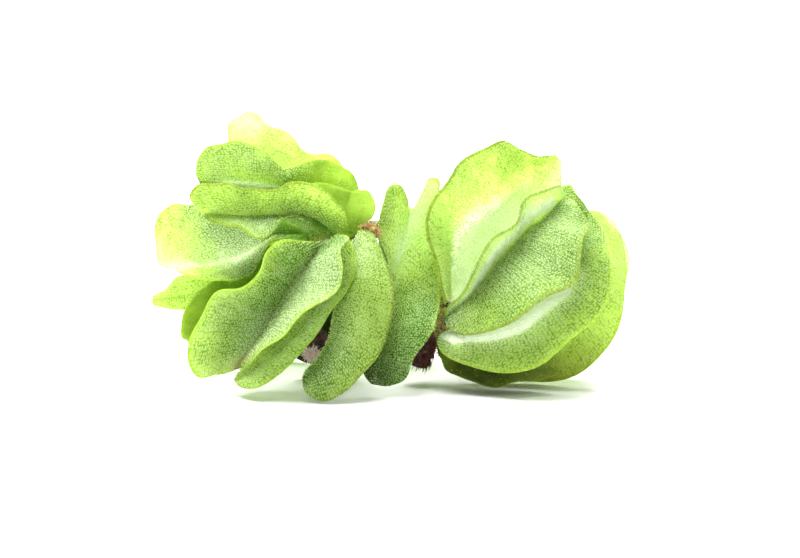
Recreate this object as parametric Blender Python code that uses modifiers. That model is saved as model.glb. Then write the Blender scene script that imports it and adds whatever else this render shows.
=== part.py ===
"""Eared watermoss plant: folded, hairy leaves in a left, a middle and a right tuft on one creeping stem.

Every leaf is a thin sheet between three smooth lines, its midrib and its two margins, thickened on both sides.
Left and right margin are named as seen on the leaf's upper face with the tip pointing up.
"""
import bmesh
import bpy
import numpy as np

MM = 0.001

# Driving dimensions, in millimetres
LEAF_THICKNESS = 0.6
STALK_WIDTH = 1.0
TIP_WIDTH = 2.0
STALK_REACH = 2.0
FOLD_SOFTNESS = 0.6
STEM_RADIUS = 0.9

# How finely the solids are divided
BLADE_ROWS = 13
BLADE_COLUMNS = 7
STEM_POINTS = 24
TUBE_SIDES_STEP = 2
CURVE_SAMPLES = 240

# Middle of the plant's footprint on the ground, measured in the frame that the points below are given in
FOOTPRINT = (-0.04, 4.48, -0.06)

# Points along the stem, from the left tuft over the middle to the right tuft, in millimetres
STEM = {
    "left_end": (-11.5, 5.0, 19.0),
    "left_knot": (-9.0, 5.5, 19.5),
    "left_rise": (-6.0, 5.5, 20.5),
    "crown": (-2.0, 4.0, 22.5),
    "middle_knot": (1.0, 6.5, 20.0),
    "slope": (4.0, 9.0, 15.5),
    "right_knot": (6.0, 9.0, 11.0),
    "right_bend": (6.5, 8.0, 9.5),
    "right_end": (6.5, 6.5, 8.0),
}

# Colour, roughness
MATERIALS = {
    "leaf_green": ((0.24, 0.45, 0.07), 0.6),
    "leaf_lime": ((0.45, 0.66, 0.08), 0.5),
    "leaf_olive": ((0.25, 0.32, 0.04), 0.6),
    "stem_green": ((0.22, 0.30, 0.06), 0.6),
    "root_brown": ((0.06, 0.02, 0.012), 0.8),
    "bud_pink": ((0.62, 0.48, 0.46), 0.8),
}

# Leaves of the left tuft
LEFT_LEAVES = {
    # Open like a book towards the front, its tip on the ground
    "leaf_left_front": dict(
        knot="left_end", colour="leaf_green", arch=(1.0, 0.8),
        midrib=[(-9, -5, 21.5), (-11, -6.5, 19), (-13.5, -6.5, 16), (-15.5, -6, 12.5), (-18.5, -7, 7.5),
                (-21.5, -8, 4)],
        left=[(-6.5, -7, 23), (-5.5, -9, 22.5), (-6.5, -10, 21.5), (-6.5, -12, 19), (-7, -13, 17),
              (-10.5, -14, 14), (-14.5, -14, 10.5), (-17.5, -12, 7.5), (-20, -10, 5)],
        right=[(-11.5, -7, 22), (-13, -9.5, 22.5), (-15, -10, 22.5), (-17, -10, 21),
               (-18, -10, 18.5), (-20.5, -9.5, 16), (-24, -9, 15), (-26, -8.5, 12), (-28, -8, 8),
               (-28, -8, 4.5), (-27, -8, 3), (-23.5, -8, 3.5)]),
    # Behind it, showing as a yellow-green band along its lower edge
    "leaf_left_band": dict(
        knot="left_rise", colour="leaf_lime", arch=(1.0, 0.5),
        midrib=[(-7.5, -1.5, 19.5), (-8.5, -4.5, 14.5), (-12.5, -7, 8.5), (-21.5, -8, 2)],
        left=[(-6, -3, 22), (-5, -5, 20.5), (-5, -7, 17.5), (-6, -8, 15), (-8, -9, 12.5), (-11, -10, 8.5),
              (-13, -10.5, 6), (-15.5, -11, 4), (-18.5, -11, 2)],
        right=[(-8.5, -1, 19), (-12.5, -2, 14.5), (-18, -4, 8), (-21, -5, 3.5)]),
    # Long leaf with a waved lower margin
    "leaf_left_waved": dict(
        knot="left_knot", colour="leaf_green", arch=(0.3, 1.0),
        midrib=[(-8, -1, 22.5), (-10.5, -1.5, 24.5), (-15.5, -2, 25), (-21, -2, 25), (-26.5, -2, 25.5)],
        left=[(-9.5, -1.5, 23), (-11.5, -3, 24.5), (-14, -5, 25), (-15.5, -7, 24.5), (-17.5, -8, 23),
              (-19.5, -8, 23), (-21, -7, 24), (-23, -6, 24.5), (-25, -4.5, 24.5)],
        right=[(-6.5, -1, 23), (-6, -2, 25), (-7.5, -3, 27), (-9.5, -4, 29), (-12, -4, 30),
               (-14, -4, 30), (-16, -4, 29), (-18.5, -4.5, 29), (-20.5, -5, 29), (-22.5, -5, 30),
               (-24.5, -5, 30), (-27, -4.5, 29.5), (-28, -4, 28)]),
    # Above it, with a stepped top
    "leaf_left_upper": dict(
        knot="left_rise", colour="leaf_green", arch=(0.5, 1.2),
        midrib=[(-5.5, 6, 24), (-8.5, 6, 27), (-14.5, 5, 28), (-20.5, 4, 28.5), (-27.5, 5, 29)],
        left=[(-6, 4.5, 22), (-7, 4, 21), (-8.5, 4, 22), (-13, 5, 24.5), (-20, 2.5, 26), (-25.5, 2, 27.5)],
        right=[(-4.5, 6.5, 25.5), (-4.5, 6.5, 28), (-5.5, 6, 30), (-7, 5, 31), (-9, 4.5, 32), (-11.5, 4, 32),
               (-13, 4, 31.5), (-15, 4, 31), (-16.5, 3.5, 32), (-18, 3, 33.5), (-20, 3, 34.5),
               (-21.5, 3, 35), (-24, 3, 34.5), (-26, 3.5, 34), (-27.5, 4, 32)]),
    # Broad leaf reaching out to the left
    "leaf_left_broad": dict(
        knot="left_end", colour="leaf_green", arch=(0.5, 1.0),
        midrib=[(-12, 2.5, 21.5), (-17, 2, 21), (-20.5, 1, 19), (-25.5, 1, 17.5), (-31, 2, 16.5)],
        left=[(-14, 0, 21), (-16.5, -1, 21), (-18, -3, 19.5), (-20, -4, 17), (-22, -5, 16), (-24, -5, 16),
              (-26.5, -4, 16.5), (-28.5, -3, 16.5)],
        right=[(-14, 2.5, 23), (-20, 4.5, 24.5), (-24.5, 5, 25.5), (-27.5, 5.5, 25.5), (-29.5, 6, 25.5),
               (-31, 6.5, 25.5), (-33, 7, 24), (-34, 7, 21.5), (-34, 6.5, 19.5), (-33.5, 5, 17)]),
    # Smooth dark band under it
    "leaf_left_under": dict(
        knot="left_end", colour="leaf_green", arch=(0.5, 0.6),
        midrib=[(-13, 3, 18), (-20, 3, 14), (-25, 3, 9.5), (-29, 3, 5.5)],
        left=[(-13, 2, 16.5), (-17, 0, 11), (-23, 0, 6), (-27.5, 1, 4.5)],
        right=[(-15, 3.5, 20), (-18.5, 3, 19), (-22, 1.5, 17), (-26, 1, 14.5), (-27.5, 0.5, 13.5),
               (-28.5, 0, 12), (-29.5, 0, 10), (-30, 0.5, 7.5)]),
    # Narrow leaf that ends in the far left point
    "leaf_left_point": dict(
        knot="left_end", colour="leaf_lime", arch=(0.5, 0.6), tip=1.2,
        midrib=[(-14.5, 7, 17), (-25.5, 9, 12.5), (-35, 10, 10.5)],
        left=[(-16.5, 7, 13.5), (-25.5, 8, 9.5), (-30.5, 9, 9.5), (-33, 9.5, 9.5)],
        right=[(-17.5, 8, 17.5), (-25.5, 9, 16), (-29.5, 9, 14.5), (-31.5, 9.5, 14), (-33, 10, 12)]),
    # Pale leaf at the top, far back
    "leaf_left_top": dict(
        knot="left_knot", colour="leaf_lime", arch=(0.5, 0.6),
        midrib=[(-7.5, 10, 26), (-13, 12, 31), (-18, 13, 33.5), (-22, 14.5, 37.5)],
        left=[(-9.5, 10, 25.5), (-17, 11, 27.5), (-22.5, 12, 31.5), (-23.5, 13, 34), (-23.5, 14, 36.5)],
        right=[(-6.5, 11, 28.5), (-7.5, 11, 31), (-9, 11.5, 32), (-11, 12, 32), (-12.5, 12, 32.5),
               (-14, 12.5, 34), (-16, 13, 35.5), (-17.5, 13.5, 36), (-18.5, 14, 36.5), (-19.5, 14.5, 37.5),
               (-21, 14.5, 38)]),
    # Small round lobe towards the middle
    "leaf_left_lobe": dict(
        knot="left_rise", colour="leaf_lime", arch=(0.5, 0.5),
        midrib=[(-5.5, 2, 22), (-6, 2.5, 24.5), (-5.5, 4.5, 27.5)],
        left=[(-7, 1.5, 22.5), (-10, 1, 24.5), (-12, 1, 27), (-12.5, 1.5, 28.5), (-10.5, 2, 29), (-8, 3, 28.5)],
        right=[(-4.5, 2, 22), (-4, 2.5, 23), (-2.5, 3, 24), (-2, 3, 25.5), (-2.5, 4, 27), (-3, 4.5, 27.5),
               (-4.5, 4.5, 27.5)]),
    # Shaded leaf inside the hollow between left and middle tuft
    "leaf_left_inner": dict(
        knot="left_rise", colour="leaf_green", arch=(0.5, 0.5),
        midrib=[(-7, 4, 18), (-8, 3, 11.5), (-9, 3.5, 6), (-10, 4, 2)],
        left=[(-5, 5, 17), (-3.5, 4, 11.5), (-4, 4, 6), (-7, 4.5, 2)],
        right=[(-9, 2.5, 17.5), (-12, 1.5, 11.5), (-14.5, 3, 6.5), (-13.5, 4.5, 3)]),
    # Two leaves folded towards the back
    "leaf_left_back_low": dict(
        knot="left_knot", colour="leaf_green", arch=(-1.5, -1.5),
        midrib=[(-9.5, 9, 17.5), (-15.5, 12, 9.5), (-20, 14, 1.5)],
        left=[(-7.5, 10, 15.5), (-9, 14, 7.5), (-13, 17, 1.5), (-17, 16, 0.5)],
        right=[(-11.5, 10, 17), (-19, 14, 13), (-25, 18, 7), (-26, 18, 3.5), (-23, 16, 1)]),
    "leaf_left_back_high": dict(
        knot="left_rise", colour="leaf_green", arch=(-1.5, -1.5),
        midrib=[(-6, 9, 21), (-11, 11.5, 21.5), (-17, 13.5, 23.5), (-25, 15, 26)],
        left=[(-7.5, 9, 19), (-11.5, 11.5, 17.5), (-18, 15, 17), (-25, 19, 18), (-28.5, 18, 22)],
        right=[(-6.5, 10, 22.5), (-9.5, 11.5, 25.5), (-14.5, 15, 28), (-21, 19, 30), (-25.5, 18, 29)]),
}

# Leaves of the middle tuft
MIDDLE_LEAVES = {
    # Kidney-shaped, the one nearest to the front
    "leaf_middle_front": dict(
        knot="crown", colour="leaf_green", arch=(1.5, 0.5),
        midrib=[(-4.5, 0, 21.5), (-6, -4, 17), (-7, -8, 11.5), (-8, -9, 7), (-12, -10.5, 2.5)],
        left=[(-4, 0, 22.5), (-3, -0.5, 22.5), (-1.5, -2, 21), (0, -5, 17), (0.5, -8, 13), (-0.5, -10, 8.5),
              (-3.5, -12, 4.5), (-6, -12.5, 2), (-9, -12, 0.5), (-11, -11.5, 1)],
        right=[(-5.5, 2, 20), (-5.5, 0, 14), (-6.5, -3, 8.5), (-9.5, -6.5, 5), (-11.5, -9, 4)]),
    # Tall leaf with two ears at the top
    "leaf_middle_eared": dict(
        knot="middle_knot", colour="leaf_green", arch=(1.0, 0.5),
        midrib=[(3, 4, 25), (2, 2, 20), (1, 0.5, 16), (0.5, -2, 12), (-0.5, -6, 6.5), (-1.5, -7, 1.5)],
        left=[(5, 4, 26.5), (5.5, 4, 28), (6, 3.5, 29.5), (7, 3, 29.5), (7, 2, 27),
              (6, 0.5, 23), (6.5, -1.5, 19), (7, -3, 15.5), (7, -5.5, 12), (6, -8, 9.5), (3.5, -9, 6),
              (2, -8, 2.5)],
        right=[(2.5, 4, 27), (1.5, 4, 28.5), (0.5, 4, 28.5), (-1, 3, 25.5), (-1.5, 2, 22.5),
               (-0.5, 0.5, 19), (0, -0.5, 15.5), (-1.5, -3, 10), (-3.5, -5, 6), (-3.5, -6, 3)]),
    # Folded towards the back
    "leaf_middle_back": dict(
        knot="middle_knot", colour="leaf_green", arch=(-1.5, -1.5),
        midrib=[(-1.5, 9, 18), (-2, 11, 10.5), (-1, 12, 2.5)],
        left=[(0.5, 10, 17.5), (5, 13.5, 14), (8.5, 15.5, 10), (9, 16.5, 6), (7, 17, 3), (3, 15.5, 1.5)],
        right=[(-3, 10, 17.5), (-6.5, 14, 11.5), (-7, 17, 4.5), (-4, 15, 1.5)]),
}

# Leaves of the right tuft
RIGHT_LEAVES = {
    # Tall leaf at the back left, lit through from behind
    "leaf_right_tall": dict(
        knot="right_knot", colour="leaf_lime", arch=(1.2, 1.5),
        midrib=[(8, 5, 11), (8.5, 7.5, 16.5), (10, 10, 21), (14.5, 13, 24), (19.5, 15, 27), (25, 16, 31)],
        left=[(8, 3, 12), (8.5, -1, 12.5), (8, -5, 13.5), (7, -6.5, 16), (6.5, -6.5, 18.5), (5.5, -6, 23),
              (6, -4, 26.5), (7.5, -1.5, 29), (10, 3, 31.5), (14, 8, 33.5),
              (17, 11, 34), (19.5, 12.5, 32.5), (22, 13.5, 31.5), (23.5, 14.5, 31.5), (24.5, 15.5, 31.5)],
        right=[(9, 6, 10), (12, 7, 11.5), (16.5, 9, 15.5), (20.5, 11, 20), (24.5, 13, 25), (25.5, 15, 28),
               (25.5, 16, 30.5)]),
    # Cupped leaf at the front
    "leaf_right_front": dict(
        knot="right_bend", colour="leaf_green", arch=(0.5, 2.5),
        midrib=[(8, -3, 10), (12.5, -1.5, 13.5), (17.5, 0, 19.5), (22.5, 1, 24), (25.5, 1, 27)],
        left=[(8, -4, 11.5), (10, -6, 14), (12, -8, 18.5), (14.5, -8, 22.5), (18, -6, 25), (19, -5, 27.5),
              (22, -4, 29), (24.5, -1, 29)],
        right=[(9, -5, 9), (13.5, -11, 10), (17.5, -13, 12), (22, -13, 15.5), (26, -12, 17.5),
               (26.5, -11, 20), (27, -9, 23), (28, -6, 24), (26.5, -2, 26.5)]),
    # Next one out, around the front leaf
    "leaf_right_second": dict(
        knot="right_end", colour="leaf_green", arch=(0.5, 2.0),
        midrib=[(8, -1, 7.5), (16.5, -3.5, 13), (24.5, -1.5, 19), (29, 3, 24.5)],
        left=[(9, 0.5, 9.5), (11.5, 2, 12.5), (16, 3.5, 17.5), (22, 5, 25), (24.5, 5, 28), (26, 5, 28.5),
              (27, 4, 27)],
        right=[(7, -3, 7), (7.5, -5, 6), (11.5, -8, 4.5), (16.5, -10, 4), (20.5, -11, 5), (25.5, -12, 9.5),
               (29, -11, 12), (31, -9, 16), (31, -4, 20), (30.5, 1, 22.5)]),
    # Low olive leaf along the ground
    "leaf_right_foot": dict(
        knot="right_end", colour="leaf_olive", arch=(0.5, 0.3), tip=1.2,
        midrib=[(7.5, 1, 4.5), (14.5, -3.5, 3.5), (23.5, -5, 3)],
        left=[(9, 1, 5), (14.5, -1, 5), (20, -2.5, 4)],
        right=[(7.5, -0.5, 4), (8, -2, 3), (9.5, -4.5, 2.5), (11.5, -7, 2), (14.5, -7.5, 1.5), (17, -7.5, 2),
               (20.5, -6.5, 2)]),
    # Olive leaf outside the second
    "leaf_right_outer": dict(
        knot="right_end", colour="leaf_olive", arch=(0.5, 2.0),
        midrib=[(8.5, 4.5, 6.5), (19, 3, 8), (29, 5, 16), (32.5, 8, 22)],
        left=[(9.5, 5, 7.5), (19, 7, 15.5), (25, 8, 22), (28, 8, 24), (30.5, 8, 24)],
        right=[(8, 3, 4.5), (11.5, 2, 2), (18, 1, 0.5), (23, 0, 0.5), (28, -1, 2.5), (31.5, -1, 6),
               (33.5, 0, 11), (34, 2, 15), (34, 5, 18.5), (33.5, 7, 21)]),
    # Outermost leaf, a lime rim behind the olive one
    "leaf_right_rim": dict(
        knot="right_end", colour="leaf_lime", arch=(0.5, 1.0),
        midrib=[(9, 9, 6.5), (22, 9, 12.5), (34, 10, 20.5)],
        left=[(10.5, 10, 9), (21, 12, 18.5), (27.5, 12, 22.5), (30.5, 12, 23.5), (32.5, 11.5, 22.5)],
        right=[(9.5, 9, 4.5), (19.5, 8, 2), (29.5, 6, 4.5), (33.5, 6, 10), (34.5, 7, 14), (35, 8, 17.5)]),
    # Two leaves folded towards the back
    "leaf_right_back_low": dict(
        knot="right_knot", colour="leaf_green", arch=(-1.5, -1.5),
        midrib=[(10, 11, 6), (19, 14, 6), (28, 15, 5)],
        left=[(11, 12, 8.5), (19.5, 17, 11.5), (28, 20, 10.5), (31, 18, 7)],
        right=[(10, 11, 4.5), (13.5, 14, 1.5), (20, 18, 0), (26, 18, 1.5)]),
    "leaf_right_back_high": dict(
        knot="right_knot", colour="leaf_green", arch=(-1.5, -1.5),
        midrib=[(9, 12, 12.5), (13, 17, 17), (17.5, 20, 23.5)],
        left=[(8, 13, 14), (7.5, 18, 18.5), (10, 22, 24), (14.5, 21, 26)],
        right=[(11, 13, 12), (19, 19, 13.5), (23.5, 23, 19), (21.5, 22, 24)]),
}

# Tapered tubes: points along the middle and the radius at each
TUBES = {
    "crown_knot": dict(colour="root_brown", route=[(-3.5, 0, 22.5), (-2.5, 0, 22.5), (-2, 0.5, 21.5)],
                       radii=[0.5, 0.8, 0.7]),
    "root_right": dict(colour="root_brown",
                       route=[(5.5, 4, 7.5), (5, 2, 6), (4.5, 1, 4), (4, 1, 2.5)],
                       radii=[0.8, 1.8, 1.9, 1.2]),
    "root_left": dict(colour="root_brown",
                      route=[(-9.5, 0, 8), (-10, 0.5, 6.5), (-10.5, 0.5, 5), (-11, 0.5, 3.5)],
                      radii=[0.6, 1.4, 1.6, 0.9]),
}
TUBE_POINTS = 9

# Hairy bud low in the hollow between the left and the middle tuft
BUD_CENTRE = (-11, -2.5, 5)
BUD_SIZE = (2.2, 1.8, 1.7)


def clear_scene():
    for thing in list(bpy.data.objects):
        bpy.data.objects.remove(thing, do_unlink=True)


def smooth_line(points, count):
    """Count points spaced evenly along a smooth curve through the given points.

    Each stretch is a cubic between two points; a point's slope is the mean of its two chords, the nearer
    one counting more.
    """
    points = np.asarray(points, float)
    chords = np.diff(points, axis=0)
    lengths = np.linalg.norm(chords, axis=1)
    slopes = chords / lengths[:, None]
    before, after = lengths[:-1, None], lengths[1:, None]
    tangents = np.empty_like(points)
    tangents[1:-1] = (slopes[:-1] * after + slopes[1:] * before) / (before + after)
    tangents[0] = 1.5 * slopes[0] - 0.5 * tangents[1]
    tangents[-1] = 1.5 * slopes[-1] - 0.5 * tangents[-2]
    starts = np.concatenate([[0.0], np.cumsum(lengths)])
    places = np.linspace(0.0, starts[-1], CURVE_SAMPLES)
    stretch = np.clip(np.searchsorted(starts, places, side="right") - 1, 0, len(lengths) - 1)
    size = lengths[stretch][:, None]
    t = (places - starts[stretch])[:, None] / size
    fine = ((2 * t**3 - 3 * t**2 + 1) * points[stretch] + (t**3 - 2 * t**2 + t) * size * tangents[stretch]
            + (3 * t**2 - 2 * t**3) * points[stretch + 1] + (t**3 - t**2) * size * tangents[stretch + 1])
    run = np.concatenate([[0.0], np.cumsum(np.linalg.norm(np.diff(fine, axis=0), axis=1))])
    even = np.linspace(0.0, run[-1], count)
    return np.stack([np.interp(even, run, fine[:, axis]) for axis in range(3)], axis=1)


def blade(leaf, rows, columns):
    """Points of the leaf's sheet: one row for the stalk's foot, then rows from heel to tip.

    A row runs from the left margin through the midrib to the right margin, part sharp crease and part
    parabola. Each half is then arched by its own height, most in its middle.
    """
    midrib = smooth_line(leaf["midrib"], rows)
    axis = midrib[-1] - midrib[0]
    end_steps = []
    for end, width in ((0, STALK_WIDTH), (-1, leaf.get("tip", TIP_WIDTH))):
        across = np.subtract(leaf["left"][end], leaf["right"][end])
        end_steps.append(0.5 * width * across / np.linalg.norm(across))
    along = np.linspace(0.0, 1.0, rows)[:, None, None]
    out = np.linspace(0.0, 1.0, columns // 2 + 1)[None, :, None]
    edges, lifts = [], []
    for margin, sign, arch in (("left", 1, leaf["arch"][0]), ("right", -1, leaf["arch"][1])):
        ends = midrib[[0, -1]] + sign * np.array(end_steps)
        edge = smooth_line([ends[0], *leaf[margin], ends[1]], rows)
        face = sign * np.cross(axis, (edge - midrib)[rows // 4: 3 * rows // 4 + 1].mean(axis=0))
        edges.append(edge[:, None])
        lifts.append(arch * np.sin(np.pi * out) * np.sin(np.pi * along) ** 0.5 * face / np.linalg.norm(face))
    middle = 0.5 * (edges[0] + edges[1])
    halves = []
    for edge, lift in zip(edges, lifts):
        crease = out * (edge - midrib[:, None])
        bowl = out * (edge - middle) + out**2 * (middle - midrib[:, None])
        halves.append(midrib[:, None] + crease + FOLD_SOFTNESS * (bowl - crease) + lift)
    sheet = np.concatenate([halves[0][:, :0:-1], halves[1]], axis=1)
    knot = np.array(STEM[leaf["knot"]])
    way = midrib[0] - knot
    foot = knot + STALK_REACH * way / np.linalg.norm(way)
    return np.concatenate([[sheet[0] + foot - midrib[0]], sheet])


def material(name):
    colour, roughness = MATERIALS[name]
    made = bpy.data.materials.get(name) or bpy.data.materials.new(name)
    made.use_nodes = True
    shader = made.node_tree.nodes["Principled BSDF"]
    shader.inputs["Base Color"].default_value = (*colour, 1.0)
    shader.inputs["Roughness"].default_value = roughness
    shader.inputs["Metallic"].default_value = 0.0
    made.diffuse_color = (*colour, 1.0)
    return made


def place(thing, colour, collection, parent):
    thing.data.materials.append(material(colour))
    collection.objects.link(thing)
    thing.parent = parent
    return thing


def add_leaf(name, leaf, collection, parent):
    """A grid laid through the leaf's points and thickened to both sides."""
    points = blade(leaf, BLADE_ROWS, BLADE_COLUMNS)
    rows, columns = points.shape[:2]
    mesh = bpy.data.meshes.new(name)
    sheet = bmesh.new()
    bmesh.ops.create_grid(sheet, x_segments=columns - 1, y_segments=rows - 1, size=1.0)
    for vertex in sheet.verts:
        column = round((vertex.co.x + 1.0) / 2.0 * (columns - 1))
        row = round((vertex.co.y + 1.0) / 2.0 * (rows - 1))
        vertex.co = points[row, column] * MM
    sheet.to_mesh(mesh)
    sheet.free()
    mesh.shade_smooth()
    thing = bpy.data.objects.new(name, mesh)
    thickness = thing.modifiers.new("thickness", "SOLIDIFY")
    thickness.thickness = LEAF_THICKNESS * MM
    thickness.offset = 0.0
    return place(thing, leaf["colour"], collection, parent)


def add_tube(name, route, radii, colour, collection, parent):
    """A round tube along a smooth curve, with its own radius at each point."""
    curve = bpy.data.curves.new(name, "CURVE")
    curve.dimensions = "3D"
    curve.bevel_depth = MM
    curve.bevel_resolution = TUBE_SIDES_STEP
    curve.use_fill_caps = True
    spline = curve.splines.new("POLY")
    spline.points.add(len(route) - 1)
    for point, place_mm, radius in zip(spline.points, route, radii):
        point.co = (*(np.array(place_mm) * MM), 1.0)
        point.radius = radius
    return place(bpy.data.objects.new(name, curve), colour, collection, parent)


def add_stem(collection, parent):
    route = smooth_line(list(STEM.values()), STEM_POINTS)
    return add_tube("stem", route, [STEM_RADIUS] * STEM_POINTS, "stem_green", collection, parent)


def add_tapered(name, tube, collection, parent):
    route = smooth_line(tube["route"], TUBE_POINTS)
    given = np.linspace(0.0, 1.0, len(tube["radii"]))
    radii = np.interp(np.linspace(0.0, 1.0, TUBE_POINTS), given, tube["radii"])
    return add_tube(name, route, radii, tube["colour"], collection, parent)


def add_bud(collection, parent):
    mesh = bpy.data.meshes.new("bud")
    ball = bmesh.new()
    bmesh.ops.create_uvsphere(ball, u_segments=12, v_segments=8, radius=0.5 * MM)
    bmesh.ops.scale(ball, vec=BUD_SIZE, verts=ball.verts)
    ball.to_mesh(mesh)
    ball.free()
    mesh.shade_smooth()
    thing = place(bpy.data.objects.new("bud", mesh), "bud_pink", collection, parent)
    thing.location = [MM * value for value in BUD_CENTRE]
    return thing


def main():
    clear_scene()
    collection = bpy.data.collections.new("eared_watermoss")
    bpy.context.scene.collection.children.link(collection)
    plant = bpy.data.objects.new("plant", None)
    plant.location = [-MM * value for value in FOOTPRINT]
    collection.objects.link(plant)
    for leaves in (LEFT_LEAVES, MIDDLE_LEAVES, RIGHT_LEAVES):
        for name, leaf in leaves.items():
            add_leaf(name, leaf, collection, plant)
    add_stem(collection, plant)
    for name, tube in TUBES.items():
        add_tapered(name, tube, collection, plant)
    add_bud(collection, plant)


if __name__ == "__main__":
    main()
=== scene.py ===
"""Looks of an eared watermoss plant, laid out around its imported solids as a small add-on.

Every leaf is one smooth surface between a midrib and two margins, given a thin wall with round edges. Rows
of fine knobbed hairs stand on it. Lengths in the tables are in millimetres, in the frame of the leaves'
drawing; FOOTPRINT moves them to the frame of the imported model.
"""

import math

import bpy
import numpy as np
from bpy.props import FloatProperty, FloatVectorProperty, IntProperty, PointerProperty
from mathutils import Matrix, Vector


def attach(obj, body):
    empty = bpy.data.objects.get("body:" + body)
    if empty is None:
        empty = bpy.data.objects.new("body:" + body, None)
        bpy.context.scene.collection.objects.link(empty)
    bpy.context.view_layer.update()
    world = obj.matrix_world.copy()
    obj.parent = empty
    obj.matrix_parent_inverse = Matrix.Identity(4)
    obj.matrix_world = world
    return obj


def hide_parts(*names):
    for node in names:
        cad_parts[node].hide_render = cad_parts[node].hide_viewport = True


bl_info = {
    "name": "Eared Watermoss",
    "version": (1, 0, 0),
    "blender": (4, 5, 0),
    "location": "3D View > Sidebar > Watermoss",
    "description": "Builds the leaves, hairs, stem and roots of a floating fern plant",
    "category": "Add Mesh",
}

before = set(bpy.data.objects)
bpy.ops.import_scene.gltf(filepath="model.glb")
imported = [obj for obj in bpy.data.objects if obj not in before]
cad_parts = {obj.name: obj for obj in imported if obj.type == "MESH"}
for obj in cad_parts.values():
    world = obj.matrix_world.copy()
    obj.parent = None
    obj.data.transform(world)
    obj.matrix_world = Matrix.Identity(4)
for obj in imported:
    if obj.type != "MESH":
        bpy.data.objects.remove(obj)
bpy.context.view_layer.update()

# One millimetre in metres, where the two sizes are written, and the points that a smooth line is measured by
MM = 0.001
CURVE_SAMPLES = 600

# Form of every leaf: STALK_WIDTH, STALK_REACH, TIP_WIDTH, WAVE_LENGTH and VEIN_SLANT are in millimetres,
# STALK_END and TIP_START are places along the leaf, and the others are shares
FOOTPRINT = np.array([-0.04, 4.48, -0.06])
STALK_WIDTH = 1.0
STALK_REACH = 2.0
STALK_ROWS = 8
STALK_END = 0.06
STALK_SWELLING = 0.8
TIP_WIDTH = 2.0
TIP_START = 0.97
TIP_THINNING = 0.6
MARGIN_THINNING = 0.35
FOLD_SOFTNESS = 0.6
WAVE_LENGTH = 7.0
VEIN_SLANT = 1.2

# Shades of every leaf: the ends of the scale of tones, the width of the painted shade along the midrib's
# valley, the length over which a streak fades in and out, the bloom of a bare leaf and how far thick bloom
# lifts the tone as painted light
DARKEST = -1.0
PALEST = 1.6
VALLEY_SHADING_WIDTH = 0.25
FADE = 0.15
BARE_BLOOM = -0.45
BLOOM_GLOW_LIFT = 0.8

# Leaf hairs: first and last row along the leaf, outermost hair of a half row, wandering of a hair in
# spacings, length of a parting in millimetres, share of the parted lengths and how far they lose their hairs
FIRST_ROW = 0.02
LAST_ROW = 0.99
OUTERMOST = 0.985
WANDERING = 0.10
PART_LENGTH = 1.8
PARTED_SHARE = 0.45
PART_THINNING = 0.85

# A leaf hair: share that stays on a bare leaf, spread of its bloom, lean and bend outwards, spread of its
# way, height of its root over the sheet in millimetres, and shortest and longest length over the usual one
LEAST_SHARE = 0.02
BLOOM_SPREAD = 0.15
HAIR_LEAN = 0.25
HAIR_BEND = 0.15
WAY_SPREAD = 0.14
ROOT_HEIGHT = 0.14
LENGTH_RANGE = (0.75, 1.2)

# Patterns of the tissue: scales of its three noises, of the knobs and of the furrows' wandering, the pitch
# of the furrows in millimetres, and the scale of the patches on stem and roots
BLOTCHES = 320.0
PATCHES = 700.0
GRAIN = 2200.0
KNOBS = 3.0
WANDER = 0.55
FURROW_PITCH = 0.85
BARK_PATCHES = 900.0

# Share of a tube's length over which each end is rounded
ROUNDED_END = 0.03

# Points along the stem, from the left tuft over the middle to the right tuft, in millimetres
STEM = {
    "left_end": (-11.5, 5.0, 19.0),
    "left_knot": (-9.0, 5.5, 19.5),
    "left_rise": (-6.0, 5.5, 20.5),
    "crown": (-2.0, 4.0, 22.5),
    "middle_knot": (1.0, 6.5, 20.0),
    "slope": (4.0, 9.0, 15.5),
    "right_knot": (6.0, 9.0, 11.0),
    "right_bend": (6.5, 8.0, 9.5),
    "right_end": (6.5, 6.5, 8.0),
}

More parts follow.
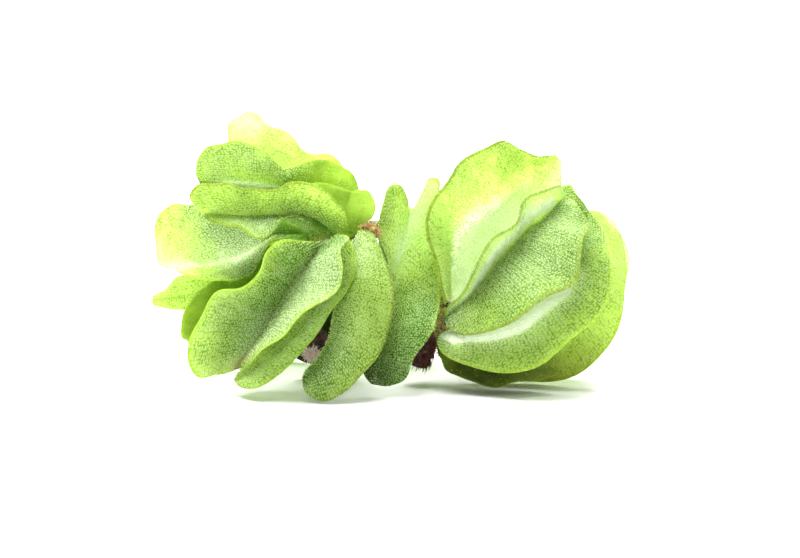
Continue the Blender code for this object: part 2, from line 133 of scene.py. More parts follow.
# Every leaf has the point of the stem that it grows from, the height of its left and right arch, points
# along its midrib and its two margins from heel to tip and, where it isn't TIP_WIDTH, the width of its tip.
# Leaves of the left tuft
LEFT_LEAVES = {
    # Open like a book towards the front, its tip on the ground
    "leaf_left_front": dict(
        knot="left_end", arch=(1.0, 0.8),
        midrib=[(-9, -5, 21.5), (-11, -6.5, 19), (-13.5, -6.5, 16), (-15.5, -6, 12.5), (-18.5, -7, 7.5),
                (-21.5, -8, 4)],
        left=[(-6.5, -7, 23), (-5.5, -9, 22.5), (-6.5, -10, 21.5), (-6.5, -12, 19), (-7, -13, 17),
              (-10.5, -14, 14), (-14.5, -14, 10.5), (-17.5, -12, 7.5), (-20, -10, 5)],
        right=[(-11.5, -7, 22), (-13, -9.5, 22.5), (-15, -10, 22.5), (-17, -10, 21),
               (-18, -10, 18.5), (-20.5, -9.5, 16), (-24, -9, 15), (-26, -8.5, 12), (-28, -8, 8),
               (-28, -8, 4.5), (-27, -8, 3), (-23.5, -8, 3.5)]),
    # Behind it, showing as a yellow-green band along its lower edge
    "leaf_left_band": dict(
        knot="left_rise", arch=(1.0, 0.5),
        midrib=[(-7.5, -1.5, 19.5), (-8.5, -4.5, 14.5), (-12.5, -7, 8.5), (-21.5, -8, 2)],
        left=[(-6, -3, 22), (-5, -5, 20.5), (-5, -7, 17.5), (-6, -8, 15), (-8, -9, 12.5), (-11, -10, 8.5),
              (-13, -10.5, 6), (-15.5, -11, 4), (-18.5, -11, 2)],
        right=[(-8.5, -1, 19), (-12.5, -2, 14.5), (-18, -4, 8), (-21, -5, 3.5)]),
    # Long leaf with a waved lower margin
    "leaf_left_waved": dict(
        knot="left_knot", arch=(0.3, 1.0),
        midrib=[(-8, -1, 22.5), (-10.5, -1.5, 24.5), (-15.5, -2, 25), (-21, -2, 25), (-26.5, -2, 25.5)],
        left=[(-9.5, -1.5, 23), (-11.5, -3, 24.5), (-14, -5, 25), (-15.5, -7, 24.5), (-17.5, -8, 23),
              (-19.5, -8, 23), (-21, -7, 24), (-23, -6, 24.5), (-25, -4.5, 24.5)],
        right=[(-6.5, -1, 23), (-6, -2, 25), (-7.5, -3, 27), (-9.5, -4, 29), (-12, -4, 30),
               (-14, -4, 30), (-16, -4, 29), (-18.5, -4.5, 29), (-20.5, -5, 29), (-22.5, -5, 30),
               (-24.5, -5, 30), (-27, -4.5, 29.5), (-28, -4, 28)]),
    # Above it, with a stepped top
    "leaf_left_upper": dict(
        knot="left_rise", arch=(0.5, 1.2),
        midrib=[(-5.5, 6, 24), (-8.5, 6, 27), (-14.5, 5, 28), (-20.5, 4, 28.5), (-27.5, 5, 29)],
        left=[(-6, 4.5, 22), (-7, 4, 21), (-8.5, 4, 22), (-13, 5, 24.5), (-20, 2.5, 26), (-25.5, 2, 27.5)],
        right=[(-4.5, 6.5, 25.5), (-4.5, 6.5, 28), (-5.5, 6, 30), (-7, 5, 31), (-9, 4.5, 32), (-11.5, 4, 32),
               (-13, 4, 31.5), (-15, 4, 31), (-16.5, 3.5, 32), (-18, 3, 33.5), (-20, 3, 34.5),
               (-21.5, 3, 35), (-24, 3, 34.5), (-26, 3.5, 34), (-27.5, 4, 32)]),
    # Broad leaf reaching out to the left
    "leaf_left_broad": dict(
        knot="left_end", arch=(0.5, 1.0),
        midrib=[(-12, 2.5, 21.5), (-17, 2, 21), (-20.5, 1, 19), (-25.5, 1, 17.5), (-31, 2, 16.5)],
        left=[(-14, 0, 21), (-16.5, -1, 21), (-18, -3, 19.5), (-20, -4, 17), (-22, -5, 16), (-24, -5, 16),
              (-26.5, -4, 16.5), (-28.5, -3, 16.5)],
        right=[(-14, 2.5, 23), (-20, 4.5, 24.5), (-24.5, 5, 25.5), (-27.5, 5.5, 25.5), (-29.5, 6, 25.5),
               (-31, 6.5, 25.5), (-33, 7, 24), (-34, 7, 21.5), (-34, 6.5, 19.5), (-33.5, 5, 17)]),
    # Smooth band under it, darkened towards its heel and left margin by painted shade
    "leaf_left_under": dict(
        knot="left_end", arch=(0.5, 0.6),
        midrib=[(-13, 3, 18), (-20, 3, 14), (-25, 3, 9.5), (-29, 3, 5.5)],
        left=[(-13, 2, 16.5), (-17, 0, 11), (-23, 0, 6), (-27.5, 1, 4.5)],
        right=[(-15, 3.5, 20), (-18.5, 3, 19), (-22, 1.5, 17), (-26, 1, 14.5), (-27.5, 0.5, 13.5),
               (-28.5, 0, 12), (-29.5, 0, 10), (-30, 0.5, 7.5)]),
    # Narrow leaf that ends in the far left point
    "leaf_left_point": dict(
        knot="left_end", arch=(0.5, 0.6), tip=1.2,
        midrib=[(-14.5, 7, 17), (-25.5, 9, 12.5), (-35, 10, 10.5)],
        left=[(-16.5, 7, 13.5), (-25.5, 8, 9.5), (-30.5, 9, 9.5), (-33, 9.5, 9.5)],
        right=[(-17.5, 8, 17.5), (-25.5, 9, 16), (-29.5, 9, 14.5), (-31.5, 9.5, 14), (-33, 10, 12)]),
    # Pale leaf at the top, far back
    "leaf_left_top": dict(
        knot="left_knot", arch=(0.5, 0.6),
        midrib=[(-7.5, 10, 26), (-13, 12, 31), (-18, 13, 33.5), (-22, 14.5, 37.5)],
        left=[(-9.5, 10, 25.5), (-17, 11, 27.5), (-22.5, 12, 31.5), (-23.5, 13, 34), (-23.5, 14, 36.5)],
        right=[(-6.5, 11, 28.5), (-7.5, 11, 31), (-9, 11.5, 32), (-11, 12, 32), (-12.5, 12, 32.5),
               (-14, 12.5, 34), (-16, 13, 35.5), (-17.5, 13.5, 36), (-18.5, 14, 36.5), (-19.5, 14.5, 37.5),
               (-21, 14.5, 38)]),
    # Small round lobe towards the middle
    "leaf_left_lobe": dict(
        knot="left_rise", arch=(0.5, 0.5),
        midrib=[(-5.5, 2, 22), (-6, 2.5, 24.5), (-5.5, 4.5, 27.5)],
        left=[(-7, 1.5, 22.5), (-10, 1, 24.5), (-12, 1, 27), (-12.5, 1.5, 28.5), (-10.5, 2, 29),
              (-8, 3, 28.5)],
        right=[(-4.5, 2, 22), (-4, 2.5, 23), (-2.5, 3, 24), (-2, 3, 25.5), (-2.5, 4, 27), (-3, 4.5, 27.5),
               (-4.5, 4.5, 27.5)]),
    # Leaf inside the hollow between left and middle tuft, painted shadow green all over as painted shade
    "leaf_left_inner": dict(
        knot="left_rise", arch=(0.5, 0.5),
        midrib=[(-7, 4, 18), (-8, 3, 11.5), (-9, 3.5, 6), (-10, 4, 2)],
        left=[(-5, 5, 17), (-3.5, 4, 11.5), (-4, 4, 6), (-7, 4.5, 2)],
        right=[(-9, 2.5, 17.5), (-12, 1.5, 11.5), (-14.5, 3, 6.5), (-13.5, 4.5, 3)]),
    # Two leaves folded towards the back
    "leaf_left_back_low": dict(
        knot="left_knot", arch=(-1.5, -1.5),
        midrib=[(-9.5, 9, 17.5), (-15.5, 12, 9.5), (-20, 14, 1.5)],
        left=[(-7.5, 10, 15.5), (-9, 14, 7.5), (-13, 17, 1.5), (-17, 16, 0.5)],
        right=[(-11.5, 10, 17), (-19, 14, 13), (-25, 18, 7), (-26, 18, 3.5), (-23, 16, 1)]),
    "leaf_left_back_high": dict(
        knot="left_rise", arch=(-1.5, -1.5),
        midrib=[(-6, 9, 21), (-11, 11.5, 21.5), (-17, 13.5, 23.5), (-25, 15, 26)],
        left=[(-7.5, 9, 19), (-11.5, 11.5, 17.5), (-18, 15, 17), (-25, 19, 18), (-28.5, 18, 22)],
        right=[(-6.5, 10, 22.5), (-9.5, 11.5, 25.5), (-14.5, 15, 28), (-21, 19, 30), (-25.5, 18, 29)]),
}

# Leaves of the middle tuft
MIDDLE_LEAVES = {
    # Kidney-shaped, the one nearest to the front
    "leaf_middle_front": dict(
        knot="crown", arch=(1.5, 0.5),
        midrib=[(-4.5, 0, 21.5), (-6, -4, 17), (-7, -8, 11.5), (-8, -9, 7), (-12, -10.5, 2.5)],
        left=[(-4, 0, 22.5), (-3, -0.5, 22.5), (-1.5, -2, 21), (0, -5, 17), (0.5, -8, 13), (-0.5, -10, 8.5),
              (-3.5, -12, 4.5), (-6, -12.5, 2), (-9, -12, 0.5), (-11, -11.5, 1)],
        right=[(-5.5, 2, 20), (-5.5, 0, 14), (-6.5, -3, 8.5), (-9.5, -6.5, 5), (-11.5, -9, 4)]),
    # Tall leaf with two ears at the top
    "leaf_middle_eared": dict(
        knot="middle_knot", arch=(1.0, 0.5),
        midrib=[(3, 4, 25), (2, 2, 20), (1, 0.5, 16), (0.5, -2, 12), (-0.5, -6, 6.5), (-1.5, -7, 1.5)],
        left=[(5, 4, 26.5), (5.5, 4, 28), (6, 3.5, 29.5), (7, 3, 29.5), (7, 2, 27),
              (6, 0.5, 23), (6.5, -1.5, 19), (7, -3, 15.5), (7, -5.5, 12), (6, -8, 9.5), (3.5, -9, 6),
              (2, -8, 2.5)],
        right=[(2.5, 4, 27), (1.5, 4, 28.5), (0.5, 4, 28.5), (-1, 3, 25.5), (-1.5, 2, 22.5),
               (-0.5, 0.5, 19), (0, -0.5, 15.5), (-1.5, -3, 10), (-3.5, -5, 6), (-3.5, -6, 3)]),
    # Folded towards the back
    "leaf_middle_back": dict(
        knot="middle_knot", arch=(-1.5, -1.5),
        midrib=[(-1.5, 9, 18), (-2, 11, 10.5), (-1, 12, 2.5)],
        left=[(0.5, 10, 17.5), (5, 13.5, 14), (8.5, 15.5, 10), (9, 16.5, 6), (7, 17, 3), (3, 15.5, 1.5)],
        right=[(-3, 10, 17.5), (-6.5, 14, 11.5), (-7, 17, 4.5), (-4, 15, 1.5)]),
}

# Leaves of the right tuft
RIGHT_LEAVES = {
    # Tall leaf at the back left, lit through from behind
    "leaf_right_tall": dict(
        knot="right_knot", arch=(1.2, 1.5),
        midrib=[(8, 5, 11), (8.5, 7.5, 16.5), (10, 10, 21), (14.5, 13, 24), (19.5, 15, 27), (25, 16, 31)],
        left=[(8, 3, 12), (8.5, -1, 12.5), (8, -5, 13.5), (7, -6.5, 16), (6.5, -6.5, 18.5), (5.5, -6, 23),
              (6, -4, 26.5), (7.5, -1.5, 29), (10, 3, 31.5), (14, 8, 33.5),
              (17, 11, 34), (19.5, 12.5, 32.5), (22, 13.5, 31.5), (23.5, 14.5, 31.5), (24.5, 15.5, 31.5)],
        right=[(9, 6, 10), (12, 7, 11.5), (16.5, 9, 15.5), (20.5, 11, 20), (24.5, 13, 25), (25.5, 15, 28),
               (25.5, 16, 30.5)]),
    # Cupped leaf at the front
    "leaf_right_front": dict(
        knot="right_bend", arch=(0.5, 2.5),
        midrib=[(8, -3, 10), (12.5, -1.5, 13.5), (17.5, 0, 19.5), (22.5, 1, 24), (25.5, 1, 27)],
        left=[(8, -4, 11.5), (10, -6, 14), (12, -8, 18.5), (14.5, -8, 22.5), (18, -6, 25), (19, -5, 27.5),
              (22, -4, 29), (24.5, -1, 29)],
        right=[(9, -5, 9), (13.5, -11, 10), (17.5, -13, 12), (22, -13, 15.5), (26, -12, 17.5),
               (26.5, -11, 20), (27, -9, 23), (28, -6, 24), (26.5, -2, 26.5)]),
    # Next one out, around the front leaf
    "leaf_right_second": dict(
        knot="right_end", arch=(0.5, 2.0),
        midrib=[(8, -1, 7.5), (16.5, -3.5, 13), (24.5, -1.5, 19), (29, 3, 24.5)],
        left=[(9, 0.5, 9.5), (11.5, 2, 12.5), (16, 3.5, 17.5), (22, 5, 25), (24.5, 5, 28), (26, 5, 28.5),
              (27, 4, 27)],
        right=[(7, -3, 7), (7.5, -5, 6), (11.5, -8, 4.5), (16.5, -10, 4), (20.5, -11, 5), (25.5, -12, 9.5),
               (29, -11, 12), (31, -9, 16), (31, -4, 20), (30.5, 1, 22.5)]),
    # Low olive leaf along the ground
    "leaf_right_foot": dict(
        knot="right_end", arch=(0.5, 0.3), tip=1.2,
        midrib=[(7.5, 1, 4.5), (14.5, -3.5, 3.5), (23.5, -5, 3)],
        left=[(9, 1, 5), (14.5, -1, 5), (20, -2.5, 4)],
        right=[(7.5, -0.5, 4), (8, -2, 3), (9.5, -4.5, 2.5), (11.5, -7, 2), (14.5, -7.5, 1.5), (17, -7.5, 2),
               (20.5, -6.5, 2)]),
    # Olive leaf outside the second
    "leaf_right_outer": dict(
        knot="right_end", arch=(0.5, 2.0),
        midrib=[(8.5, 4.5, 6.5), (19, 3, 8), (29, 5, 16), (32.5, 8, 22)],
        left=[(9.5, 5, 7.5), (19, 7, 15.5), (25, 8, 22), (28, 8, 24), (30.5, 8, 24)],
        right=[(8, 3, 4.5), (11.5, 2, 2), (18, 1, 0.5), (23, 0, 0.5), (28, -1, 2.5), (31.5, -1, 6),
               (33.5, 0, 11), (34, 2, 15), (34, 5, 18.5), (33.5, 7, 21)]),
    # Outermost leaf, a lime rim behind the olive one
    "leaf_right_rim": dict(
        knot="right_end", arch=(0.5, 1.0),
        midrib=[(9, 9, 6.5), (22, 9, 12.5), (34, 10, 20.5)],
        left=[(10.5, 10, 9), (21, 12, 18.5), (27.5, 12, 22.5), (30.5, 12, 23.5), (32.5, 11.5, 22.5)],
        right=[(9.5, 9, 4.5), (19.5, 8, 2), (29.5, 6, 4.5), (33.5, 6, 10), (34.5, 7, 14), (35, 8, 17.5)]),
    # Two leaves folded towards the back
    "leaf_right_back_low": dict(
        knot="right_knot", arch=(-1.5, -1.5),
        midrib=[(10, 11, 6), (19, 14, 6), (28, 15, 5)],
        left=[(11, 12, 8.5), (19.5, 17, 11.5), (28, 20, 10.5), (31, 18, 7)],
        right=[(10, 11, 4.5), (13.5, 14, 1.5), (20, 18, 0), (26, 18, 1.5)]),
    "leaf_right_back_high": dict(
        knot="right_knot", arch=(-1.5, -1.5),
        midrib=[(9, 12, 12.5), (13, 17, 17), (17.5, 20, 23.5)],
        left=[(8, 13, 14), (7.5, 18, 18.5), (10, 22, 24), (14.5, 21, 26)],
        right=[(11, 13, 12), (19, 19, 13.5), (23.5, 23, 19), (21.5, 22, 24)]),
}

# Tapered tubes: points along the middle and the radius at each
TUBES = {
    "crown_knot": dict(route=[(-3.5, 0, 22.5), (-2.5, 0, 22.5), (-2, 0.5, 21.5)],
                       radii=[0.5, 0.8, 0.7]),
    "root_right": dict(route=[(5.5, 4, 7.5), (5, 2, 6), (4.5, 1, 4), (4, 1, 2.5)],
                       radii=[0.8, 1.8, 1.9, 1.2]),
    "root_left": dict(route=[(-9.5, 0, 8), (-10, 0.5, 6.5), (-10.5, 0.5, 5), (-11, 0.5, 3.5)],
                      radii=[0.6, 1.4, 1.6, 0.9]),
}
STEM_RADIUS = 0.9
BUD_CENTRE = (-11, -2.5, 5)
BUD_SIZE = (2.2, 1.8, 1.7)
HEEL_LEAVES = ("leaf_right_tall", "leaf_right_front", "leaf_right_second", "leaf_right_foot")

# How many hairs stand on the stem, the knot and the bud, round each right heel and on each root tuft
STEM_HAIRS = 900
KNOT_HAIRS = 500
BUD_HAIRS = 900
HEEL_HAIRS = 170
ROOT_HAIRS = {"root_right": 900, "root_left": 700}
SEEDS = {"stem": 3, "knot": 5, "root_right": 10, "root_left": 9, "bud": 11}

# Form of these hairs: heights of the rings along a hair, and the radius at each in millimetres
STEM_HAIR = dict(heights=(0.0, 0.5), radii=(0.045, 0.03))
HEEL_HAIR = dict(heights=(0.0, 0.5), radii=(0.05, 0.035))
KNOT_HAIR = dict(heights=(0.0, 0.35, 0.7), radii=(0.05, 0.045, 0.03))
ROOTLET = dict(heights=(0.0, 0.3, 0.6, 0.85), radii=(0.06, 0.06, 0.05, 0.04))
BUD_HAIR = dict(heights=(0.0, 0.5), radii=(0.05, 0.04))

# How each leaf looks, where it differs from PLAIN_LOOK. Places across go from -1 at the left margin to 1 at
# the right one, and places along from 0 at the heel to 1 at the tip.
# tone: at heel, middle and tip; -1 is shadow, 0 deep green, 1 lime and 1.6 the palest; below 0 it is painted
# shade
# margins: tone added towards the left and the right margin
# valley shading: painted shade taken off the tone along the midrib; below 0 it paints the midrib lighter
# spots: lighter or darker places, partly painted light and shade, each with its place across and along,
# width, length and the tone added
# brown: withered places, each with its place across and along, width, length and strength
# bloom: streaks of whitish down, each with its place across, width, strength, start and end along the leaf;
# beyond 1 it is also painted light that whitens the leaf and lifts its tone
# edge: how olive the line along the margins is
# ruffle: share of the waves that the margins have
# soft: how often the fold is eased
# bare: up to where along the leaf hardly a hair stands; beyond 1 the whole leaf is smooth
# face: the side that bears the hairs
PLAIN_LOOK = dict(margins=(0.0, 0.0), valley_shading=0.0, spots=[], brown=[], bloom=[], edge=0.0, ruffle=1.0, soft=0,
                  bare=-1.0, face="upper")
BACK_LOOK = dict(margins=(0.2, 0.2), valley_shading=0.1, face="under", bloom=[(0.0, 0.3, 0.4, 0.2, 1.0)])
LOOKS = {
    "leaf_left_front": dict(
        tone=(-0.35, -0.1, 0.25), margins=(0.25, 0.6), valley_shading=0.05,
        brown=[(-0.15, 0.97, 0.5, 0.09, 1.2)],
        bloom=[(-0.7, 0.4, 0.75, 0.1, 1.0), (0.15, 0.25, 0.5, 0.5, 1.0), (0.9, 0.2, 0.3, 0.4, 1.0),
               (0.5, 0.5, 0.4, 0.8, 1.3)]),
    "leaf_left_band": dict(
        tone=(0.15, 0.5, 0.65), margins=(0.3, 0.1),
        bloom=[(-0.5, 0.6, 0.8, 0.3, 1.1)]),
    "leaf_left_waved": dict(
        tone=(-0.2, 0.15, 0.4), margins=(0.2, 0.25), valley_shading=-0.15, edge=0.7, bare=0.15,
        spots=[(0.85, 0.25, 0.3, 0.2, 0.6), (-0.6, 0.25, 0.5, 0.25, -0.4)],
        bloom=[(-0.6, 0.4, -0.5, -0.1, 0.45), (-0.5, 0.4, 0.7, 0.4, 0.9), (0.2, 0.3, 0.3, 0.3, 1.0)]),
    "leaf_left_upper": dict(
        tone=(0.35, 0.3, 0.4), margins=(0.1, 0.1), valley_shading=0.1, bare=0.45,
        bloom=[(-0.6, 0.6, 0.7, 0.4, 1.0), (0.05, 0.15, 1.6, 0.35, 0.95), (0.4, 0.8, 0.6, 0.45, 1.0)]),
    "leaf_left_broad": dict(
        tone=(0.05, -0.05, 1.6), margins=(0.1, 0.3), bare=0.25,
        bloom=[(-0.05, 0.3, 1.15, 0.25, 0.95), (0.3, 0.8, 0.45, 0.2, 1.0), (0.0, 1.5, 1.4, 0.78, 1.3)]),
    # Painted shade: the under leaf is toned darker towards its heel and left margin
    "leaf_left_under": dict(tone=(-0.6, -0.05, 0.3), margins=(-0.3, 0.2), valley_shading=0.2, bare=1.2),
    "leaf_left_point": dict(tone=(0.3, 0.45, 0.75), margins=(0.1, 0.1), bare=0.5),
    "leaf_left_top": dict(
        tone=(0.5, 0.9, 1.2), margins=(0.1, 0.1), bare=0.5,
        bloom=[(0.0, 1.5, 1.3, 0.65, 1.3)]),
    "leaf_left_lobe": dict(tone=(0.3, 0.5, 0.5), margins=(0.2, 0.1), bare=1.2),
    # Painted shade: the inner leaf is toned to shadow green all over
    "leaf_left_inner": dict(tone=(-0.9, -0.8, -0.9), bare=1.2),
    "leaf_left_back_low": dict(BACK_LOOK, tone=(-0.2, 0.2, 0.5)),
    "leaf_left_back_high": dict(BACK_LOOK, tone=(-0.2, 0.3, 0.7)),
    "leaf_middle_front": dict(
        tone=(0.3, 0.35, -0.05), margins=(0.3, 0.1), valley_shading=0.15, edge=0.8,
        bloom=[(-0.3, 0.6, 0.8, -0.1, 0.35), (-0.4, 0.3, 0.2, 0.4, 1.0)]),
    # Painted light and shade: a pale glow toned onto the heel, shadow green onto the tip and the right heel
    "leaf_middle_eared": dict(
        tone=(1.3, 0.25, -0.7), margins=(0.1, -0.4),
        spots=[(0.85, 0.05, 0.35, 0.15, -0.5), (-0.6, 0.15, 0.6, 0.3, 0.4), (0.15, 0.3, 0.35, 0.15, 0.5)],
        bloom=[(-0.4, 0.9, 0.9, 0.0, 0.45), (0.15, 0.35, 0.6, 0.1, 0.5)]),
    "leaf_middle_back": dict(BACK_LOOK, tone=(-0.2, 0.2, 0.4)),
    "leaf_right_tall": dict(
        tone=(1.35, 1.4, 1.1), margins=(-0.5, 0.3), valley_shading=-0.1, edge=0.8, soft=60,
        spots=[(-0.5, 0.85, 0.5, 0.25, -0.5), (-0.8, 0.2, 0.5, 0.25, -0.5)],
        bloom=[(0.4, 0.7, 0.9, -0.1, 0.55)]),
    # Partly painted light: the left half's strong bloom and the valley shading below 0 lighten its shaded
    # fold
    "leaf_right_front": dict(
        tone=(0.3, 0.1, 0.0), margins=(0.2, 0.2), valley_shading=-0.1, edge=0.8, ruffle=0.4,
        spots=[(-0.5, 0.9, 0.5, 0.2, 0.5)],
        bloom=[(-0.6, 0.42, 1.9, 0.0, 1.0), (0.6, 0.4, 0.4, 0.3, 1.0), (-0.1, 0.13, -0.4, 0.4, 1.1),
               (0.4, 0.5, 0.7, -0.2, 0.25)]),
    # Partly painted light: two strong bloom streaks whiten the strip under the front leaf's margin and the
    # heel
    "leaf_right_second": dict(
        tone=(0.4, 0.25, 0.1), margins=(0.2, 0.2), valley_shading=-0.2,
        bloom=[(0.5, 0.17, 3.0, 0.0, 0.74), (0.4, 0.4, 3.0, -0.2, 0.2)]),
    # Painted shade: the foot leaf is toned down to shadow green in its middle, where it lies under the plant
    "leaf_right_foot": dict(tone=(0.0, -0.75, 0.0), bare=1.2),
    "leaf_right_outer": dict(
        tone=(-0.2, 0.7, 1.3), margins=(0.1, 0.2), bare=0.3,
        brown=[(0.95, 0.3, 0.35, 0.3, 0.6), (0.9, 0.8, 0.5, 0.4, 0.12)]),
    "leaf_right_rim": dict(
        tone=(0.3, 1.2, 1.3), margins=(0.2, 0.3), bare=0.3,
        brown=[(0.5, 0.7, 0.8, 0.5, 0.12)]),
    "leaf_right_back_low": dict(BACK_LOOK, tone=(-0.2, 0.2, 0.5)),
    "leaf_right_back_high": dict(BACK_LOOK, tone=(-0.1, 0.4, 0.7)),
}
LEAF_SLOTS = {
    "leaf_left_band": "leaf_lime", "leaf_left_point": "leaf_lime", "leaf_left_top": "leaf_lime",
    "leaf_left_lobe": "leaf_lime", "leaf_right_tall": "leaf_lime", "leaf_right_rim": "leaf_lime",
    "leaf_right_foot": "leaf_olive", "leaf_right_outer": "leaf_olive",
}
# How olive the green parts of a slot's leaves turn, and how rough the tissue of a smooth leaf is
AGES = {"leaf_green": 0.0, "leaf_lime": 0.0, "leaf_olive": 0.8}
SMOOTH_LEAF = 0.25
HAIR_GLOSS = {"Roughness": 0.5, "Specular IOR Level": 0.2}

# Lights of the stage, each with its place and the side of its square in metres, and its power's setting
LIGHTS = {
    "back_light": ((0.10, 0.40, 0.55), 0.4, "back_power"),
    "top_light": ((-0.15, 0.05, 0.90), 0.8, "top_power"),
}

# The point that the camera looks at and the distance where its view starts, in metres, and its lens and the
# width of its sensor, in millimetres
LOOKED_AT = (0.00160, -0.00448, 0.01556)
NEAREST = 0.01
LENS = 110.0
SENSOR = 36.0


def in_metres(name, description, default, low, high):
    """A setting that is a length."""
    return FloatProperty(name=name, description=description, default=default, min=low, max=high,
                         unit="LENGTH", precision=5)


def in_watts(name, description, default):
    """A setting that is the power of a light."""
    return FloatProperty(name=name, description=description, default=default, min=0.0, unit="POWER")


def in_colour(name, description, default):
    """A setting that is a colour."""
    return FloatVectorProperty(name=name, description=description, default=default, min=0.0, max=1.0,
                               subtype="COLOR")


class LeafSettings(bpy.types.PropertyGroup):
    """Sizes and colours of the leaves."""
    thickness: in_metres("Thickness", "Thickness of a leaf in its middle", 0.00042, 0.0001, 0.001)
    rows: IntProperty(name="Rows", description="Rows of points from heel to tip", default=96, min=24,
                      max=200)
    columns: IntProperty(name="Columns", description="Points across a leaf, an odd number", default=49,
                         min=9, max=99)
    rib_pitch: in_metres("Rib Pitch", "Distance between two veins along the midrib", 0.0011, 0.0004, 0.005)
    rib_height: in_metres("Rib Height", "Height of the swelling between two veins", 0.00005, 0.0, 0.0005)
    ruffle: in_metres("Ruffle", "Height of the waves along the margins", 0.00035, 0.0, 0.002)
    # Painted shade: leaves and parts of leaves in the plant's shade are coloured shadow green
    shadow: in_colour("Shadow Green", "Colour of leaf deep inside the plant", (0.014, 0.030, 0.001))
    deep: in_colour("Deep Green", "Colour of shaded, older leaf", (0.060, 0.175, 0.008))
    lime: in_colour("Lime", "Colour of young and thin leaf", (0.48, 0.66, 0.085))
    pale: in_colour("Bloom", "Colour of the knobs that dot the leaf", (0.75, 0.92, 0.47))
    through: in_colour("Light Through Green", "Tint of light that passes a green leaf", (0.66, 0.84, 0.16))
    through_lime: in_colour("Light Through Lime", "Tint of light that passes a lime leaf", (0.83, 1.0, 0.44))
    through_pale: in_colour("Light Through Pale", "Tint of light that passes the palest leaf",
                            (0.93, 1.0, 0.80))
    olive: in_colour("Olive", "Colour of old leaf and of the margin line", (0.20, 0.24, 0.03))
    # Partly painted light: colour of the thickest down, also used to whiten strips that lie in shade
    fleece_and_glow: in_colour("Fleece", "Colour of leaf under the thickest down", (0.93, 1.0, 0.80))
    brown: in_colour("Brown", "Colour of withered spots", (0.25, 0.20, 0.03))


class HairSettings(bpy.types.PropertyGroup):
    """Sizes and colours of the fine hairs."""
    spacing: in_metres("Spacing", "Distance between two hairs", 0.00042, 0.0002, 0.002)
    length: in_metres("Length", "Length of a leaf hair", 0.00030, 0.0001, 0.002)
    radius: in_metres("Knob Radius", "Radius of a hair's knob", 0.00007, 0.00001, 0.0003)
    colour: in_colour("Hair", "Colour of hairs on green leaf", (0.76, 0.88, 0.36))
    white: in_colour("White Hair", "Colour of hairs in the bloom", (0.86, 0.97, 0.68))
    seed: IntProperty(name="Seed", description="Seed of the hairs' small irregularities", default=7, min=0)


class StemSettings(bpy.types.PropertyGroup):
    """Colours of stem, knot, roots and bud."""
    green: in_colour("Stem", "Colour of the stem", (0.20, 0.28, 0.05))
    gold: in_colour("Knot Hair", "Colour of the hairs on the knot", (0.62, 0.44, 0.15))
    maroon: in_colour("Root", "Colour of the roots", (0.045, 0.010, 0.008))
    root_shade: in_colour("Root Shade", "Colour of the roots' dark patches", (0.02, 0.006, 0.005))
    rootlet: in_colour("Rootlet", "Colour of the rootlets' tips", (0.12, 0.03, 0.02))
    bud: in_colour("Bud", "Colour of the bud and of its down's foot", (0.92, 0.74, 0.72))
    bud_down: in_colour("Bud Down", "Colour of the bud's down", (1.0, 0.94, 0.93))


class StageSettings(bpy.types.PropertyGroup):
    """Floor, light and camera."""
    floor_size: in_metres("Floor Size", "Side of the square floor", 4.0, 0.5, 100.0)
    floor: in_colour("Floor", "Colour of the floor", (0.92, 0.92, 0.91))
    sky: FloatProperty(name="Surround", description="Brightness of the white surround", default=0.40,
                       min=0.0)
    back_power: in_watts("Back Light", "Power of the light behind the plant", 3.8)
    top_power: in_watts("Top Light", "Power of the light above the plant", 16.0)
    exposure: FloatProperty(name="Exposure", description="Stops by which the picture is brightened",
                            default=0.85)
    distance: in_metres("Camera Distance", "From the camera to the point it looks at", 0.350, 0.1, 10.0)
    elevation: FloatProperty(name="Camera Elevation", description="Angle of the view above the horizon",
                             default=math.radians(10.0), subtype="ANGLE")


def unit(vectors):
    """Each vector divided by its length."""
    return vectors / np.maximum(np.linalg.norm(vectors, axis=-1, keepdims=True), 1e-12)


def to_frame(points):
    """Points of the drawing, in millimetres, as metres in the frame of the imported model."""
    return (points - FOOTPRINT) * MM


def distances(line):
    """How far along a line each of its points lies."""
    return np.concatenate([[0.0], np.cumsum(np.linalg.norm(np.diff(line, axis=0), axis=1))])


def smooth_line(points, count):
    """Count points spaced evenly along a smooth curve through the given points.

    Each stretch is a cubic between two points; a point's slope is the mean of its two chords, the nearer
    one counting more.
    """
    points = np.asarray(points, float)
    chords = np.diff(points, axis=0)
    lengths = np.linalg.norm(chords, axis=1)
    slopes = chords / lengths[:, None]
    before, after = lengths[:-1, None], lengths[1:, None]
    tangents = np.empty_like(points)
    tangents[1:-1] = (slopes[:-1] * after + slopes[1:] * before) / (before + after)
    tangents[0] = 1.5 * slopes[0] - 0.5 * tangents[1]
    tangents[-1] = 1.5 * slopes[-1] - 0.5 * tangents[-2]
    starts = distances(points)
    places = np.linspace(0.0, starts[-1], CURVE_SAMPLES)
    stretch = np.clip(np.searchsorted(starts, places, side="right") - 1, 0, len(lengths) - 1)
    size = lengths[stretch][:, None]
    t = (places - starts[stretch])[:, None] / size
    fine = ((2 * t**3 - 3 * t**2 + 1) * points[stretch] + (t**3 - 2 * t**2 + t) * size * tangents[stretch]
            + (3 * t**2 - 2 * t**3) * points[stretch + 1] + (t**3 - t**2) * size * tangents[stretch + 1])
    run = distances(fine)
    even = np.linspace(0.0, run[-1], count)
    return np.stack([np.interp(even, run, fine[:, axis]) for axis in range(3)], axis=1)


